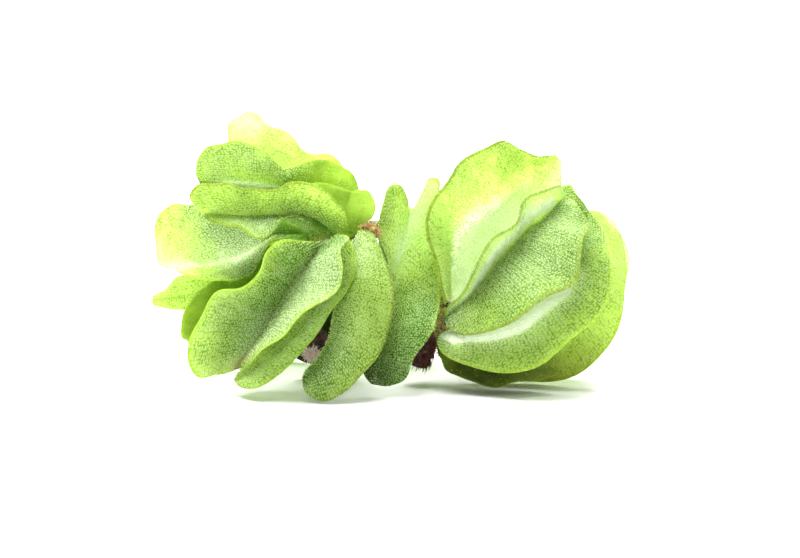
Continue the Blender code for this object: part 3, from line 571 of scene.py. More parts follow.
def blade(leaf, rows, columns):
    """The leaf's sheet and the way from its heel to its stalk's foot.

    The sheet's rows go from heel to tip and its columns from the left to the right margin. A row runs from a
    margin through the midrib to the other margin, part sharp crease and part parabola. Each half is then
    arched by its own height: arch times sin(pi out) times the root of sin(pi along).
    """
    midrib = smooth_line(leaf["midrib"], rows)
    axis = midrib[-1] - midrib[0]
    end_steps = []
    for end, width in ((0, STALK_WIDTH), (-1, leaf.get("tip", TIP_WIDTH))):
        across = np.subtract(leaf["left"][end], leaf["right"][end])
        end_steps.append(0.5 * width * across / np.linalg.norm(across))
    along = np.linspace(0.0, 1.0, rows)[:, None, None]
    out = np.linspace(0.0, 1.0, columns // 2 + 1)[None, :, None]
    edges, lifts = [], []
    for margin, sign, arch in (("left", 1, leaf["arch"][0]), ("right", -1, leaf["arch"][1])):
        ends = midrib[[0, -1]] + sign * np.array(end_steps)
        edge = smooth_line([ends[0], *leaf[margin], ends[1]], rows)
        face = sign * np.cross(axis, (edge - midrib)[rows // 4: 3 * rows // 4 + 1].mean(axis=0))
        edges.append(edge[:, None])
        lifts.append(arch * np.sin(np.pi * out) * np.sin(np.pi * along) ** 0.5 * face / np.linalg.norm(face))
    middle = 0.5 * (edges[0] + edges[1])
    halves = []
    for edge, lift in zip(edges, lifts):
        crease = out * (edge - midrib[:, None])
        bowl = out * (edge - middle) + out**2 * (middle - midrib[:, None])
        halves.append(midrib[:, None] + crease + FOLD_SOFTNESS * (bowl - crease) + lift)
    knot = np.array(STEM[leaf["knot"]])
    way = midrib[0] - knot
    foot = knot + STALK_REACH * way / np.linalg.norm(way)
    return np.concatenate([halves[0][:, :0:-1], halves[1]], axis=1), foot - midrib[0]


def sheet_normals(sheet):
    """Unit normals of a sheet's upper face: the step across crossed with the step along."""
    return unit(np.cross(np.gradient(sheet, axis=1), np.gradient(sheet, axis=0)))


def relief(sheet, name, look, settings):
    """The sheet with its fold eased, moved along its normals by its waves and ribs.

    The margins wave by ruffle * out^3 * sin(2 pi (s / wave length + phase)), s being the length along the
    leaf. The phase is another one on each leaf and on each half. Between its veins the leaf swells by
    rib height * |sin(pi s / pitch)| * sin(pi out), where s also grows outwards, so that the veins slant.
    """
    rows, columns = sheet.shape[:2]
    sheet = sheet.copy()
    for _ in range(look["soft"]):
        sheet[:, 1:-1] = 0.25 * sheet[:, :-2] + 0.5 * sheet[:, 1:-1] + 0.25 * sheet[:, 2:]
    side = np.linspace(-1.0, 1.0, columns)[None, :]
    out = np.abs(side)
    along = np.linspace(0.0, 1.0, rows)[:, None]
    length = np.linalg.norm(np.diff(sheet[:, columns // 2], axis=0), axis=1).sum()
    phase = (sum(map(ord, name)) % 17) / 17.0 + 0.3 * np.sign(side) + 0.1 * np.sin(9 * along)
    ends = np.sin(np.pi * along) ** 0.5
    wave = np.sin(2 * np.pi * (along * length / WAVE_LENGTH + phase))
    height = look["ruffle"] * settings.ruffle / MM * out**3 * wave * ends
    ribs = np.abs(np.sin(np.pi * (along * length + VEIN_SLANT * out) / (settings.rib_pitch / MM)))
    height = height + settings.rib_height / MM * ribs * np.sin(np.pi * out) * ends
    return sheet + height[..., None] * sheet_normals(sheet)


def make_mesh(name, points, faces, attributes):
    """A smooth mesh from points in metres, an array of faces for each corner count, and attributes."""
    mesh = bpy.data.meshes.new(name)
    mesh.vertices.add(len(points))
    mesh.vertices.foreach_set("co", points.astype(np.float32).ravel())
    corners = np.concatenate([group.ravel() for group in faces])
    counts = np.concatenate([np.full(len(group), group.shape[1]) for group in faces])
    mesh.loops.add(len(corners))
    mesh.loops.foreach_set("vertex_index", corners.astype(np.int32))
    mesh.polygons.add(len(counts))
    mesh.polygons.foreach_set("loop_start", (np.cumsum(counts) - counts).astype(np.int32))
    mesh.update(calc_edges=True)
    mesh.shade_smooth()
    for key, values in attributes.items():
        vector = values.ndim == 2
        layer = mesh.attributes.new(key, "FLOAT_VECTOR" if vector else "FLOAT", "POINT")
        layer.data.foreach_set("vector" if vector else "value", values.astype(np.float32).ravel())
    return mesh


def add_piece(mesh, material, slot, *nodes):
    """The mesh as a piece that rides on the plant, in place of the given solids."""
    piece = bpy.data.objects.new(mesh.name, mesh)
    bpy.context.scene.collection.objects.link(piece)
    mesh.materials.append(material)
    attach(piece, "root")
    if nodes:
        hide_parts(*nodes)
    return piece


def wrap_faces(rows, ring):
    """Quads between neighbouring rows of a closed ring of points."""
    row, place = np.meshgrid(np.arange(rows - 1), np.arange(ring), indexing="ij")
    after = (place + 1) % ring
    start, end = row * ring, (row + 1) * ring
    return np.stack([start + place, start + after, end + after, end + place], axis=-1).reshape(-1, 4)


def patches(spots, sides, along):
    """Each spot over a leaf: strength * exp(-far^2), with far the distance from its middle over its size."""
    for side, place, width, length, strength in spots:
        far = ((sides[None, :] - side) / width)**2 + ((along[:, None] - place) / length)**2
        yield strength * np.exp(-far)


def shades(look, sides, along):
    """Tone, bloom and brown over a leaf, for places across and places along it.

    The tone is straight between its three values, plus margin * out^2, less valley shading *
    exp(-(out / width)^2), the painted shade along the fold, plus its spots, partly painted light and shade.
    A tone below 0 is painted shade. The bloom is the sum of its streaks, each strength *
    exp(-((side - centre) / width)^2), less where the leaf is bare; beyond 1 it lifts the tone too, as
    painted light. Brown is the greatest of its spots.
    """
    out = np.abs(sides)[None, :]
    margin = np.where(sides < 0, *look["margins"])[None, :]
    tone = np.interp(along, (0.0, 0.5, 1.0), look["tone"])[:, None]
    # Painted shade along the midrib's fold
    valley_shading = look["valley_shading"] * np.exp(-(out / VALLEY_SHADING_WIDTH)**2)
    tone = np.clip(tone + margin * out**2 - valley_shading, DARKEST, PALEST)
    bare = np.clip((look["bare"] - along) / FADE, 0.0, 1.0)
    bloom = np.repeat(BARE_BLOOM * bare[:, None], len(sides), axis=1)
    for centre, width, strength, start, end in look["bloom"]:
        window = np.clip((along - start) / FADE, 0.0, 1.0) * np.clip((end - along) / FADE, 0.0, 1.0)
        bloom = bloom + strength * np.exp(-((sides[None, :] - centre) / width)**2) * window[:, None]
    # Spots, partly painted light and shade
    for lift in patches(look["spots"], sides, along):
        tone = tone + lift
    brown = np.zeros(tone.shape)
    for strength in patches(look["brown"], sides, along):
        brown = np.maximum(brown, strength)
    # Thick bloom beyond 1 lifts the tone as painted light
    return np.clip(tone + BLOOM_GLOW_LIFT * np.clip(bloom - 1.0, 0.0, 1.0), DARKEST, PALEST), bloom, brown


def shell(name, sheet, foot_way, settings, look):
    """A closed wall round the sheet, with round edges and a stalk, as a mesh.

    Each row of the sheet gives one ring: upper points, right edge, under points, left edge. A point lies
    half the thickness from the sheet along its normal; the edges are half circles of that radius.
    """
    # The stalk's rows are the heel's row moved towards the stalk's foot
    share = np.linspace(1.0, 0.0, STALK_ROWS, endpoint=False)[:, None, None]
    sheet = np.concatenate([sheet[:1] + share * foot_way, sheet])
    rows, columns = sheet.shape[:2]
    normals = sheet_normals(sheet)
    side = np.linspace(-1.0, 1.0, columns)
    along = np.clip((np.arange(rows) - STALK_ROWS) / (rows - STALK_ROWS - 1), 0.0, 1.0)
    half = 0.5 * settings.thickness / MM * (1.0 - MARGIN_THINNING * np.abs(side)[None, :] ** 3)
    tip = np.clip((along - TIP_START) / (1.0 - TIP_START), 0.0, 1.0)
    half = half * (1.0 - TIP_THINNING * tip**2)[:, None]
    stalk = np.clip(1.0 - along / STALK_END, 0.0, 1.0)[:, None]
    half = (half * (1.0 + STALK_SWELLING * stalk * (1.0 - side[None, :] ** 2)))[..., None]
    upper, under = sheet + half * normals, sheet - half * normals
    turns = np.radians([60.0, 0.0, -60.0])[None, :, None]
    edges = []
    for edge, inner in ((-1, -2), (0, 1)):
        outward = unit(sheet[:, edge] - sheet[:, inner])[:, None]
        round_edge = np.cos(turns) * outward + np.sin(turns) * normals[:, edge, None]
        edges.append(sheet[:, edge, None] + half[:, edge, None] * round_edge)
    points = np.concatenate([upper, edges[0], under[:, ::-1], edges[1][:, ::-1]], axis=1)
    ring = points.shape[1]
    sides = np.concatenate([side, [1.0] * 3, side[::-1], [-1.0] * 3])
    # Each end is closed by a strip between upper and under points and a five-cornered face at either edge
    cap = np.arange(columns - 1)
    under_at = 2 * columns + 2 - cap
    strip = np.stack([under_at, cap, cap + 1, under_at - 1], axis=1)
    last = (rows - 1) * ring
    right = np.array([[columns + 3, columns - 1, columns, columns + 1, columns + 2]])
    left = np.array([[0, 2 * columns + 2, 2 * columns + 3, 2 * columns + 4, 2 * columns + 5]])
    fives = np.concatenate([right + last, left + last, right[:, ::-1], left[:, ::-1]])
    quads = np.concatenate([wrap_faces(rows, ring), strip + last, strip[:, ::-1]])
    # Places in millimetres across and along the leaf, for the pattern of its tissue
    steps = np.linalg.norm(np.diff(sheet, axis=1), axis=2)
    across = np.concatenate([np.zeros((rows, 1)), np.cumsum(steps, axis=1)], axis=1)
    across = across - across[:, columns // 2, None]
    across = np.concatenate([across, across[:, [-1] * 3], across[:, ::-1], across[:, [0] * 3]], axis=1)
    lengthwise = np.repeat(distances(sheet[:, columns // 2])[:, None], ring, axis=1)
    out = np.repeat(np.abs(sides)[None, :], rows, axis=0)
    tone, bloom, brown = shades(look, sides, along)
    attributes = {
        "leaf_place": np.stack([across, lengthwise, out], axis=-1).reshape(-1, 3),
        "leaf_tone": tone.ravel(),
        "leaf_bloom": bloom.ravel(),
        "leaf_brown": brown.ravel(),
        "leaf_edge": np.full(rows * ring, look["edge"]),
    }
    return make_mesh(name, to_frame(points.reshape(-1, 3)), [quads, fives], attributes)


def pick(grid, row, column):
    """Values of a grid at fractional rows and columns, each the blend of the four nearest."""
    low_row = np.clip(row.astype(int), 0, grid.shape[0] - 2)
    low_column = np.clip(column.astype(int), 0, grid.shape[1] - 2)
    r, c = (row - low_row)[:, None], (column - low_column)[:, None]
    return ((1 - r) * (1 - c) * grid[low_row, low_column] + (1 - r) * c * grid[low_row, low_column + 1]
            + r * (1 - c) * grid[low_row + 1, low_column] + r * c * grid[low_row + 1, low_column + 1])


def pick_number(grid, row, column):
    """The same for a grid of single numbers."""
    return pick(grid[..., None], row, column)[:, 0]


def bristles(name, roots, ways, bends, lengths, chance, heights, radii, sides=3, extra=None):
    """Many thin hairs in one mesh, in millimetres.

    Hair i at height t is root + length (t way + t^2 bend). A ring of points stands round it at each height,
    with the radius given for it; an apex closes it at height 1 and a flat face at its root.
    """
    count, levels = len(roots), len(heights)
    t = np.asarray(heights)[None, :, None]
    size = lengths[:, None, None]
    centre = roots[:, None] + size * (t * ways[:, None] + t**2 * bends[:, None])
    tangent = unit(ways[:, None] + 2 * t * bends[:, None])
    first = unit(np.cross(tangent, unit(chance.normal(size=(count, 1, 3)))))
    second = np.cross(tangent, first)
    angle = np.linspace(0.0, 2 * np.pi, sides, endpoint=False)[None, None, :, None]
    radius = np.asarray(radii)[None, :, None, None]
    around = np.cos(angle) * first[:, :, None] + np.sin(angle) * second[:, :, None]
    rings = centre[:, :, None] + radius * around
    apex = (roots + lengths[:, None] * (ways + bends))[:, None]
    points = np.concatenate([rings.reshape(count, levels * sides, 3), apex], axis=1)
    each = points.shape[1]
    start = (np.arange(count) * each)[:, None, None]
    quads = (start + wrap_faces(levels, sides)[None]).reshape(-1, 4) if levels > 1 else np.zeros((0, 4), int)
    corner = np.arange(sides)
    top = (levels - 1) * sides
    tips = np.stack([top + corner, top + (corner + 1) % sides, np.full(sides, levels * sides)], axis=1)
    tips = (start + tips[None]).reshape(-1, 3)
    base = (start + corner[::-1][None, None]).reshape(-1, sides)
    height = np.concatenate([np.repeat(heights, sides), [1.0]])
    attributes = {"height": np.tile(height, count)}
    for key, values in (extra or {}).items():
        attributes[key] = np.repeat(values, each)
    groups = {}
    for group in (quads, tips, base):
        groups.setdefault(group.shape[1], []).append(group)
    faces = [np.concatenate(group) for group in groups.values() if sum(map(len, group))]
    return make_mesh(name, to_frame(points.reshape(-1, 3)), faces, attributes)


def leaf_hairs(name, sheet, look, settings, chance):
    """Short knobbed hairs in rows that run from the midrib out to both margins.

    Rows lie one spacing apart along the longest line of the leaf, and hairs one spacing apart along each
    half row. Where rows draw together, a hair stays with a chance of the rows' distance over the spacing,
    and less often where the leaf is bare. Where down is thick, short lengths of some rows are parted.
    """
    rows, columns = sheet.shape[:2]
    normals = sheet_normals(sheet) * (1.0 if look["face"] == "upper" else -1.0)
    spacing = settings.spacing / MM
    centre = columns // 2
    longest = np.linalg.norm(np.diff(sheet, axis=0), axis=2).sum(axis=0).max()
    lines = np.linspace(FIRST_ROW, LAST_ROW, int(longest / spacing))
    odd = np.arange(len(lines))[:, None] % 2
    found = []
    for step in (-1, 1):
        half = sheet[:, centre::step]
        widths = np.linalg.norm(np.diff(half, axis=1), axis=2).sum(axis=1)
        width = np.interp(lines * (rows - 1), np.arange(rows), widths)
        most = int(width.max() / spacing) + 1
        place = (np.arange(most)[None, :] + 0.5 * odd + 0.3) * spacing / width[:, None]
        line = np.repeat(lines[:, None], most, axis=1)
        place, line = place[place < OUTERMOST], line[place < OUTERMOST]
        place = np.clip(place + chance.normal(0, WANDERING, place.shape) * spacing / width.mean(), 0.0, 0.99)
        line = np.clip(line + chance.normal(0, WANDERING, line.shape) * spacing / longest, 0.0, 1.0)
        found.append((line * (rows - 1), centre + step * place * centre))
    row, column = (np.concatenate(values) for values in zip(*found))
    step_along = np.linalg.norm(pick(np.gradient(sheet, axis=0), row, column), axis=1)
    between = step_along * (rows - 1) * (lines[1] - lines[0])
    tone, bloom, brown = shades(look, np.linspace(-1.0, 1.0, columns), np.linspace(0.0, 1.0, rows))
    share = np.clip(1.0 + 2.0 * pick_number(bloom - 0.3 * brown, row, column), LEAST_SHARE, 1.0)
    number = np.round(row / (rows - 1) * len(lines)).astype(int)
    part = (np.abs(column - centre) / centre * width.mean() / PART_LENGTH + 0.37 * number).astype(int)
    parting = chance.random((number.max() + 1, part.max() + 1))[number, part] < PARTED_SHARE
    downy = np.clip(pick_number(bloom, row, column) / 0.5, 0.0, 1.0)
    share = share * (1.0 - PART_THINNING * parting * downy)
    kept = chance.random(len(row)) < share * between / spacing
    row, column = row[kept], column[kept]
    extra = {"leaf_tone": pick_number(tone, row, column),
             "leaf_bloom": pick_number(bloom, row, column) + chance.normal(0, BLOOM_SPREAD, len(row)),
             "leaf_brown": pick_number(brown, row, column)}
    normal = unit(pick(normals, row, column))
    outward = unit(pick(np.gradient(sheet, axis=1), row, column)) * np.sign(column - centre)[:, None]
    lengths = settings.length / MM * chance.uniform(*LENGTH_RANGE, len(row))
    ways = unit(normal + HAIR_LEAN * outward + chance.normal(0, WAY_SPREAD, normal.shape))
    roots = pick(sheet, row, column) + ROOT_HEIGHT * normal
    knob = settings.radius / MM
    return bristles(name, roots, ways, HAIR_BEND * outward, lengths, chance, heights=(0.0, 0.7),
                    radii=(0.7 * knob, knob), sides=4, extra=extra)


class Graph:
    """A material's nodes, added and linked by short calls."""

    def __init__(self, name):
        self.material = bpy.data.materials.new(name)
        self.material.use_nodes = True
        self.tree = self.material.node_tree
        self.tree.nodes.clear()
        self.output = self.tree.nodes.new("ShaderNodeOutputMaterial")

    def put(self, socket, value):
        """Link a socket to another one, or set its own number or colour."""
        if isinstance(value, bpy.types.NodeSocket):
            self.tree.links.new(value, socket)
        elif isinstance(value, (int, float)):
            socket.default_value = value
        else:
            socket.default_value = (*value, 1.0)[:len(socket.default_value)]

    def node(self, kind, inputs=None, **values):
        """A new node of this kind with its inputs and its own settings."""
        made = self.tree.nodes.new("ShaderNode" + kind)
        for key, value in values.items():
            setattr(made, key, value)
        for key, value in (inputs or {}).items():
            self.put(made.inputs[key], value)
        return made

    def attribute(self, name, output="Fac"):
        """An attribute of the mesh."""
        return self.node("Attribute", attribute_name=name).outputs[output]

    def noise(self, where, scale, detail):
        """Soft noise from 0 to 1 at a place."""
        return self.node("TexNoise", {"Vector": where, "Scale": scale, "Detail": detail}).outputs["Fac"]

    def math(self, operation, *values):
        """The outcome of an operation on one or more values."""
        return self.node("Math", dict(enumerate(values)), operation=operation).outputs[0]

    def times(self, first, second):
        """The product of two values."""
        return self.math("MULTIPLY", first, second)

    def plus(self, first, second):
        """The sum of two values."""
        return self.math("ADD", first, second)

    def ramp(self, value, low, high, to_low=0.0, to_high=1.0):
        """The value eased from one range to another, and held beyond its ends."""
        given = {"Value": value, "From Min": low, "From Max": high, "To Min": to_low, "To Max": to_high}
        return self.node("MapRange", given, interpolation_type="SMOOTHSTEP").outputs[0]

    def mix(self, share, first, second):
        """The first colour with a share of the second."""
        made = self.node("Mix", data_type="RGBA")
        for key, value in ((0, share), (6, first), (7, second)):
            self.put(made.inputs[key], value)
        return made.outputs[2]

    def finish(self, skin, glow=None, share=0.0):
        """The finished material: a skin, or a mix of it with light that passes through from behind."""
        surface = self.node("BsdfPrincipled", skin).outputs[0]
        if glow:
            passed = self.node("BsdfTranslucent", glow).outputs[0]
            surface = self.node("MixShader", {0: share, 1: surface, 2: passed}).outputs[0]
        self.put(self.output.inputs["Surface"], surface)
        return self.material


def leaf_material(name, settings, age, rough):
    """Leaf tissue, from shadow green as painted shade over deep green to lime by its tone, and olive by its
    age.

    Pale knobs dot it, with furrows between them darkened by painted shade, as far as it is rough. It is
    whitish where the bloom is thick, near white as painted light where it is thickest, and brown where it
    withers; a fine line follows the margin, and light comes through it tinted.
    """
    graph = Graph(name)
    place = graph.attribute("leaf_place", "Vector")
    axes = graph.node("SeparateXYZ", {0: place}).outputs
    brown = graph.attribute("leaf_brown")
    where = graph.node("TexCoord").outputs["Object"]
    blotch = graph.noise(where, BLOTCHES, 3.0)
    grain = graph.noise(where, GRAIN, 2.0)
    patch = graph.noise(where, PATCHES, 3.0)
    wander = graph.noise(place, WANDER, 2.0)
    tone = graph.plus(graph.attribute("leaf_tone"), graph.times(graph.math("SUBTRACT", blotch, 0.5), 0.7))
    bloom = graph.plus(graph.attribute("leaf_bloom"), graph.ramp(patch, 0.50, 0.72, 0.0, 0.35))
    # Green by its tone, olive where it is old, and painted shade in shadow green where the tone is below 0
    old = graph.times(graph.ramp(tone, 0.7, -0.3), age)
    base = graph.mix(graph.ramp(tone, 0.0, 1.0), settings.deep, settings.lime)
    base = graph.mix(old, base, settings.olive)
    base = graph.mix(graph.ramp(tone, -1.0, -0.1, 1.0, 0.0), base, settings.shadow)
    # Knobs, and painted shade in the gaps between them and in the furrows that wander between the veins
    dots = graph.node("TexVoronoi", {"Vector": place, "Scale": KNOBS, "Randomness": 0.6},
                      voronoi_dimensions="2D", feature="F1").outputs["Distance"]
    dot = graph.ramp(dots, 0.10, 0.45, 1.0, 0.0)
    gap = graph.times(graph.ramp(dots, 0.36, 0.62, 0.0, 0.9), graph.ramp(patch, 0.60, 0.40, 0.4, 1.0))
    line = graph.times(graph.plus(axes["Y"], graph.times(wander, 2.5)), math.pi / FURROW_PITCH)
    line = graph.ramp(graph.math("ABSOLUTE", graph.math("SINE", line)), 0.0, 0.45, 1.0, 0.0)
    line = graph.times(line, graph.ramp(wander, 0.42, 0.62, 0.0, 0.8))
    clear = graph.ramp(tone, 0.9, 1.5, rough, 0.35 * rough)
    clear = graph.times(graph.ramp(bloom, -0.4, 0.0, 0.2, 1.0), clear)
    furrow = graph.times(graph.math("MAXIMUM", gap, line), clear)
    shade = graph.mix(0.5, settings.shadow, settings.deep)
    shade = graph.mix(graph.times(furrow, 0.9), base, shade)
    frost = graph.math("MAXIMUM", 0.0, graph.plus(0.35 * rough, graph.times(bloom, 0.7)))
    base = graph.mix(graph.times(dot, frost), graph.mix(0.8, base, shade), settings.pale)
    base = graph.mix(graph.times(graph.math("MAXIMUM", bloom, 0.0), 0.35), base, settings.pale)
    # Painted light, partly down: the thickest bloom turns the tissue near white
    base = graph.mix(graph.ramp(bloom, 1.2, 2.2), base, settings.fleece_and_glow)
    # The line along the margin, the withered places, and the relief of knobs and grain
    rim = graph.mix(graph.attribute("leaf_edge"), settings.lime, settings.olive)
    # The margin line fades out where the tone is painted dark
    rim_share = graph.times(graph.ramp(axes["Z"], 0.955, 0.99), graph.ramp(tone, -0.4, 0.5, 0.0, 0.6))
    base = graph.mix(brown, graph.mix(rim_share, base, rim), settings.brown)
    height = graph.plus(graph.times(dot, 0.8), graph.times(grain, 0.5))
    bump = graph.node("Bump", {"Height": height, "Strength": 0.7, "Distance": 0.00014}).outputs["Normal"]
    # Tint and share of the light that comes through
    tint = graph.mix(graph.ramp(tone, 0.0, 1.0), settings.through, settings.through_lime)
    tint = graph.mix(graph.ramp(tone, 1.0, 1.6), tint, settings.through_pale)
    # Painted shade in the furrows darkens the light through too
    tint = graph.mix(graph.times(furrow, 0.6), tint, settings.deep)
    tint = graph.mix(old, tint, settings.olive)
    # Painted shade: the light through turns shadow green where the tone is below 0
    tint = graph.mix(graph.ramp(tone, -1.0, 0.1, 1.0, 0.0), tint, settings.shadow)
    tint = graph.mix(brown, graph.mix(rim_share, tint, rim), settings.brown)
    share = graph.times(graph.ramp(tone, 0.0, 1.0, 0.28, 0.80), graph.ramp(bloom, 1.0, 2.0, 1.0, 0.2))
    skin = {"Base Color": base, "Normal": bump, "Roughness": 0.55, "Specular IOR Level": 0.1,
            "Sheen Weight": 0.06 * rough, "Sheen Roughness": 0.4, "Sheen Tint": (0.95, 1.0, 0.9)}
    return graph.finish(skin, {"Color": tint, "Normal": bump}, share)


def down_material(name, hairs, leaves):
    """Leaf hairs: deep green where the leaf is dark, pale on green leaf, whitish in thick bloom."""
    graph = Graph(name)
    tip = graph.mix(graph.ramp(graph.attribute("leaf_bloom"), -0.1, 0.8), hairs.colour, hairs.white)
    # Painted shade carried on: hairs turn deep green where their leaf's tone is painted dark
    tip = graph.mix(graph.ramp(graph.attribute("leaf_tone"), -1.0, 0.2), leaves.deep, tip)
    colour = graph.mix(graph.ramp(graph.attribute("height"), 0.0, 0.75), leaves.lime, tip)
    colour = graph.mix(graph.attribute("leaf_brown"), colour, leaves.brown)
    return graph.finish({"Base Color": colour, **HAIR_GLOSS}, {"Color": colour}, 0.45)


def hair_material(name, tip, root, share):
    """Fine hairs, darker at the root, that let some light through."""
    graph = Graph(name)
    colour = graph.mix(graph.ramp(graph.attribute("height"), 0.0, 0.75), root, tip)
    return graph.finish({"Base Color": colour, **HAIR_GLOSS}, {"Color": colour}, share)


def bark_material(name, colour, second, roughness):
    """Skin of stem, knot, root or bud: two tones in small patches, with a fine grain."""
    graph = Graph(name)
    patch = graph.noise(graph.node("TexCoord").outputs["Object"], BARK_PATCHES, 4.0)
    base = graph.mix(graph.ramp(patch, 0.35, 0.65), colour, second)
    bump = graph.node("Bump", {"Height": patch, "Strength": 0.6, "Distance": 0.0002}).outputs["Normal"]
    return graph.finish({"Base Color": base, "Normal": bump, "Roughness": roughness})


def add_tuft(leaves):
    """The leaves of one tuft, each with its hairs."""
    scene = bpy.context.scene
    leaf_settings, hair_settings = scene.watermoss_leaves, scene.watermoss_hairs
    materials = bpy.data.materials
    for name, leaf in leaves.items():
        slot = LEAF_SLOTS.get(name, "leaf_green")
        look = {**PLAIN_LOOK, **LOOKS[name]}
        rough = SMOOTH_LEAF if look["bare"] > 1.0 else 1.0
        title = slot + ("_tissue" if rough == 1.0 else "_smooth_tissue")
        tissue = materials.get(title) or leaf_material(title, leaf_settings, AGES[slot], rough)
        down = materials.get("leaf_down") or down_material("leaf_down", hair_settings, leaf_settings)
        sheet, foot_way = blade(leaf, leaf_settings.rows, leaf_settings.columns)
        sheet = relief(sheet, name, look, leaf_settings)
        mesh = shell(name.replace("leaf", "blade"), sheet, foot_way, leaf_settings, look)
        add_piece(mesh, tissue, slot, name)
        chance = np.random.default_rng(hair_settings.seed + sum(map(ord, name)))
        add_piece(leaf_hairs(name.replace("leaf", "hairs"), sheet, look, hair_settings, chance), down, slot)


def tube(name, route, radii, sides, samples, roughen):
    """A closed tube along a smooth line through the route, with the radius eased between those given.

    The ring at s stands across the line; its radius is r(s) (1 + roughen sin(7 s) cos(3 angle)). Towards
    each end it shrinks as a quarter of an ellipse does.
    """
    line = smooth_line(route, samples)
    along = np.linspace(0, 1, samples)
    radius = np.interp(along, np.linspace(0, 1, len(radii)), radii)
    end = np.clip((np.abs(along - 0.5) - 0.5 + ROUNDED_END) / ROUNDED_END, 0, 1)
    radius = radius * np.clip(1.0 - end**2, 0.02, 1.0) ** 0.5
    tangent = unit(np.gradient(line, axis=0))
    first = unit(np.cross(tangent, np.array([0.3, 0.9, 0.2])))
    second = np.cross(tangent, first)
    angle = np.linspace(0, 2 * np.pi, sides, endpoint=False)[None, :]
    size = radius[:, None] * (1 + roughen * np.sin(7 * distances(line)[:, None]) * np.cos(3 * angle))
    around = np.cos(angle)[..., None] * first[:, None] + np.sin(angle)[..., None] * second[:, None]
    points = line[:, None] + size[..., None] * around
    corner = np.arange(sides)
    caps = np.stack([corner[::-1], (samples - 1) * sides + corner])
    return make_mesh(name, to_frame(points.reshape(-1, 3)), [wrap_faces(samples, sides), caps], {})


def ball_directions(count):
    """Count unit directions spread evenly over a sphere.

    Their heights fall in even steps from 1 to -1, and each is turned by the golden angle from the last one.
    """
    place = np.arange(count) + 0.5
    z = 1 - 2 * place / count
    turn = place * math.pi * (3 - math.sqrt(5))
    flat = np.sqrt(1 - z**2)
    return np.stack([flat * np.cos(turn), flat * np.sin(turn), z], axis=1)


class WATERMOSS_OT_left_tuft(bpy.types.Operator):
    """Build the leaves and hairs of the left tuft"""
    bl_idname = "watermoss.left_tuft"
    bl_label = "Left Tuft"

    def execute(self, context):
        add_tuft(LEFT_LEAVES)
        return {"FINISHED"}


class WATERMOSS_OT_middle_tuft(bpy.types.Operator):
    """Build the leaves and hairs of the middle tuft"""
    bl_idname = "watermoss.middle_tuft"
    bl_label = "Middle Tuft"

    def execute(self, context):
        add_tuft(MIDDLE_LEAVES)
        return {"FINISHED"}


class WATERMOSS_OT_right_tuft(bpy.types.Operator):
    """Build the leaves and hairs of the right tuft"""
    bl_idname = "watermoss.right_tuft"
    bl_label = "Right Tuft"

    def execute(self, context):
        add_tuft(RIGHT_LEAVES)
        return {"FINISHED"}


class WATERMOSS_OT_stem(bpy.types.Operator):
    """Build the creeping stem with its short hairs, and the hairs round the right heels"""
    bl_idname = "watermoss.stem"
    bl_label = "Stem"

    def execute(self, context):
        settings = context.scene.watermoss_stem
        route = list(STEM.values())
        bark = bark_material("stem_skin", settings.green, settings.maroon, 0.6)
        runner = tube("stem_runner", route, [STEM_RADIUS] * len(route), 20, 90, 0.04)
        add_piece(runner, bark, "stem_green", "stem")
        chance = np.random.default_rng(SEEDS["stem"])
        line = smooth_line(route, 400)
        spots = chance.integers(8, len(line) - 8, STEM_HAIRS)
        tangent = unit(np.gradient(line, axis=0))[spots]
        ways = unit(np.cross(tangent, chance.normal(size=(len(spots), 3))))
        lengths = chance.uniform(0.5, 1.1, len(spots))
        starts = line[spots] + 0.85 * ways
        mesh = bristles("stem_hairs", starts, ways, 0.2 * tangent, lengths, chance, **STEM_HAIR)
        down = hair_material("stem_down", settings.gold, settings.maroon, 0.2)
        add_piece(mesh, down, "root_brown")
        starts, alongs = [], []
        for name in HEEL_LEAVES:
            heel = np.array(RIGHT_LEAVES[name]["midrib"][0], float)
            way = np.array(STEM[RIGHT_LEAVES[name]["knot"]]) - heel
            starts.append(heel + chance.uniform(-0.1, 0.55, (HEEL_HAIRS, 1)) * way)
            alongs.append(np.repeat(unit(way)[None], HEEL_HAIRS, axis=0))
        starts, alongs = np.concatenate(starts), np.concatenate(alongs)
        ways = unit(np.cross(alongs, chance.normal(size=starts.shape)) + [0.0, 0.0, -0.15])
        bends = chance.normal(0, 0.2, ways.shape) - 0.3 * alongs
        lengths = chance.uniform(0.7, 1.7, len(starts))
        mesh = bristles("heel_hairs", starts + 0.2 * ways, ways, bends, lengths, chance, **HEEL_HAIR)
        add_piece(mesh, down, "root_brown")
        return {"FINISHED"}


class WATERMOSS_OT_knot(bpy.types.Operator):
    """Build the brown, hairy knot at the crown"""
    bl_idname = "watermoss.knot"
    bl_label = "Crown Knot"

    def execute(self, context):
        settings = context.scene.watermoss_stem
        knot = TUBES["crown_knot"]
        bark = bark_material("knot_skin", settings.maroon, settings.gold, 0.7)
        core = tube("knot_core", knot["route"], knot["radii"], 16, 24, 0.08)
        add_piece(core, bark, "root_brown", "crown_knot")
        chance = np.random.default_rng(SEEDS["knot"])
        line = smooth_line(knot["route"], 60)
        spots = chance.integers(4, len(line) - 4, KNOT_HAIRS)
        ways = unit(chance.normal(size=(len(spots), 3)) + [0.0, -0.6, 0.6])
        lengths = chance.uniform(0.4, 0.9, len(spots))
        bends = chance.normal(0, 0.25, ways.shape)
        mesh = bristles("knot_hairs", line[spots] + 0.5 * ways, ways, bends, lengths, chance, **KNOT_HAIR)
        add_piece(mesh, hair_material("knot_down", settings.gold, settings.maroon, 0.3), "root_brown")
        return {"FINISHED"}


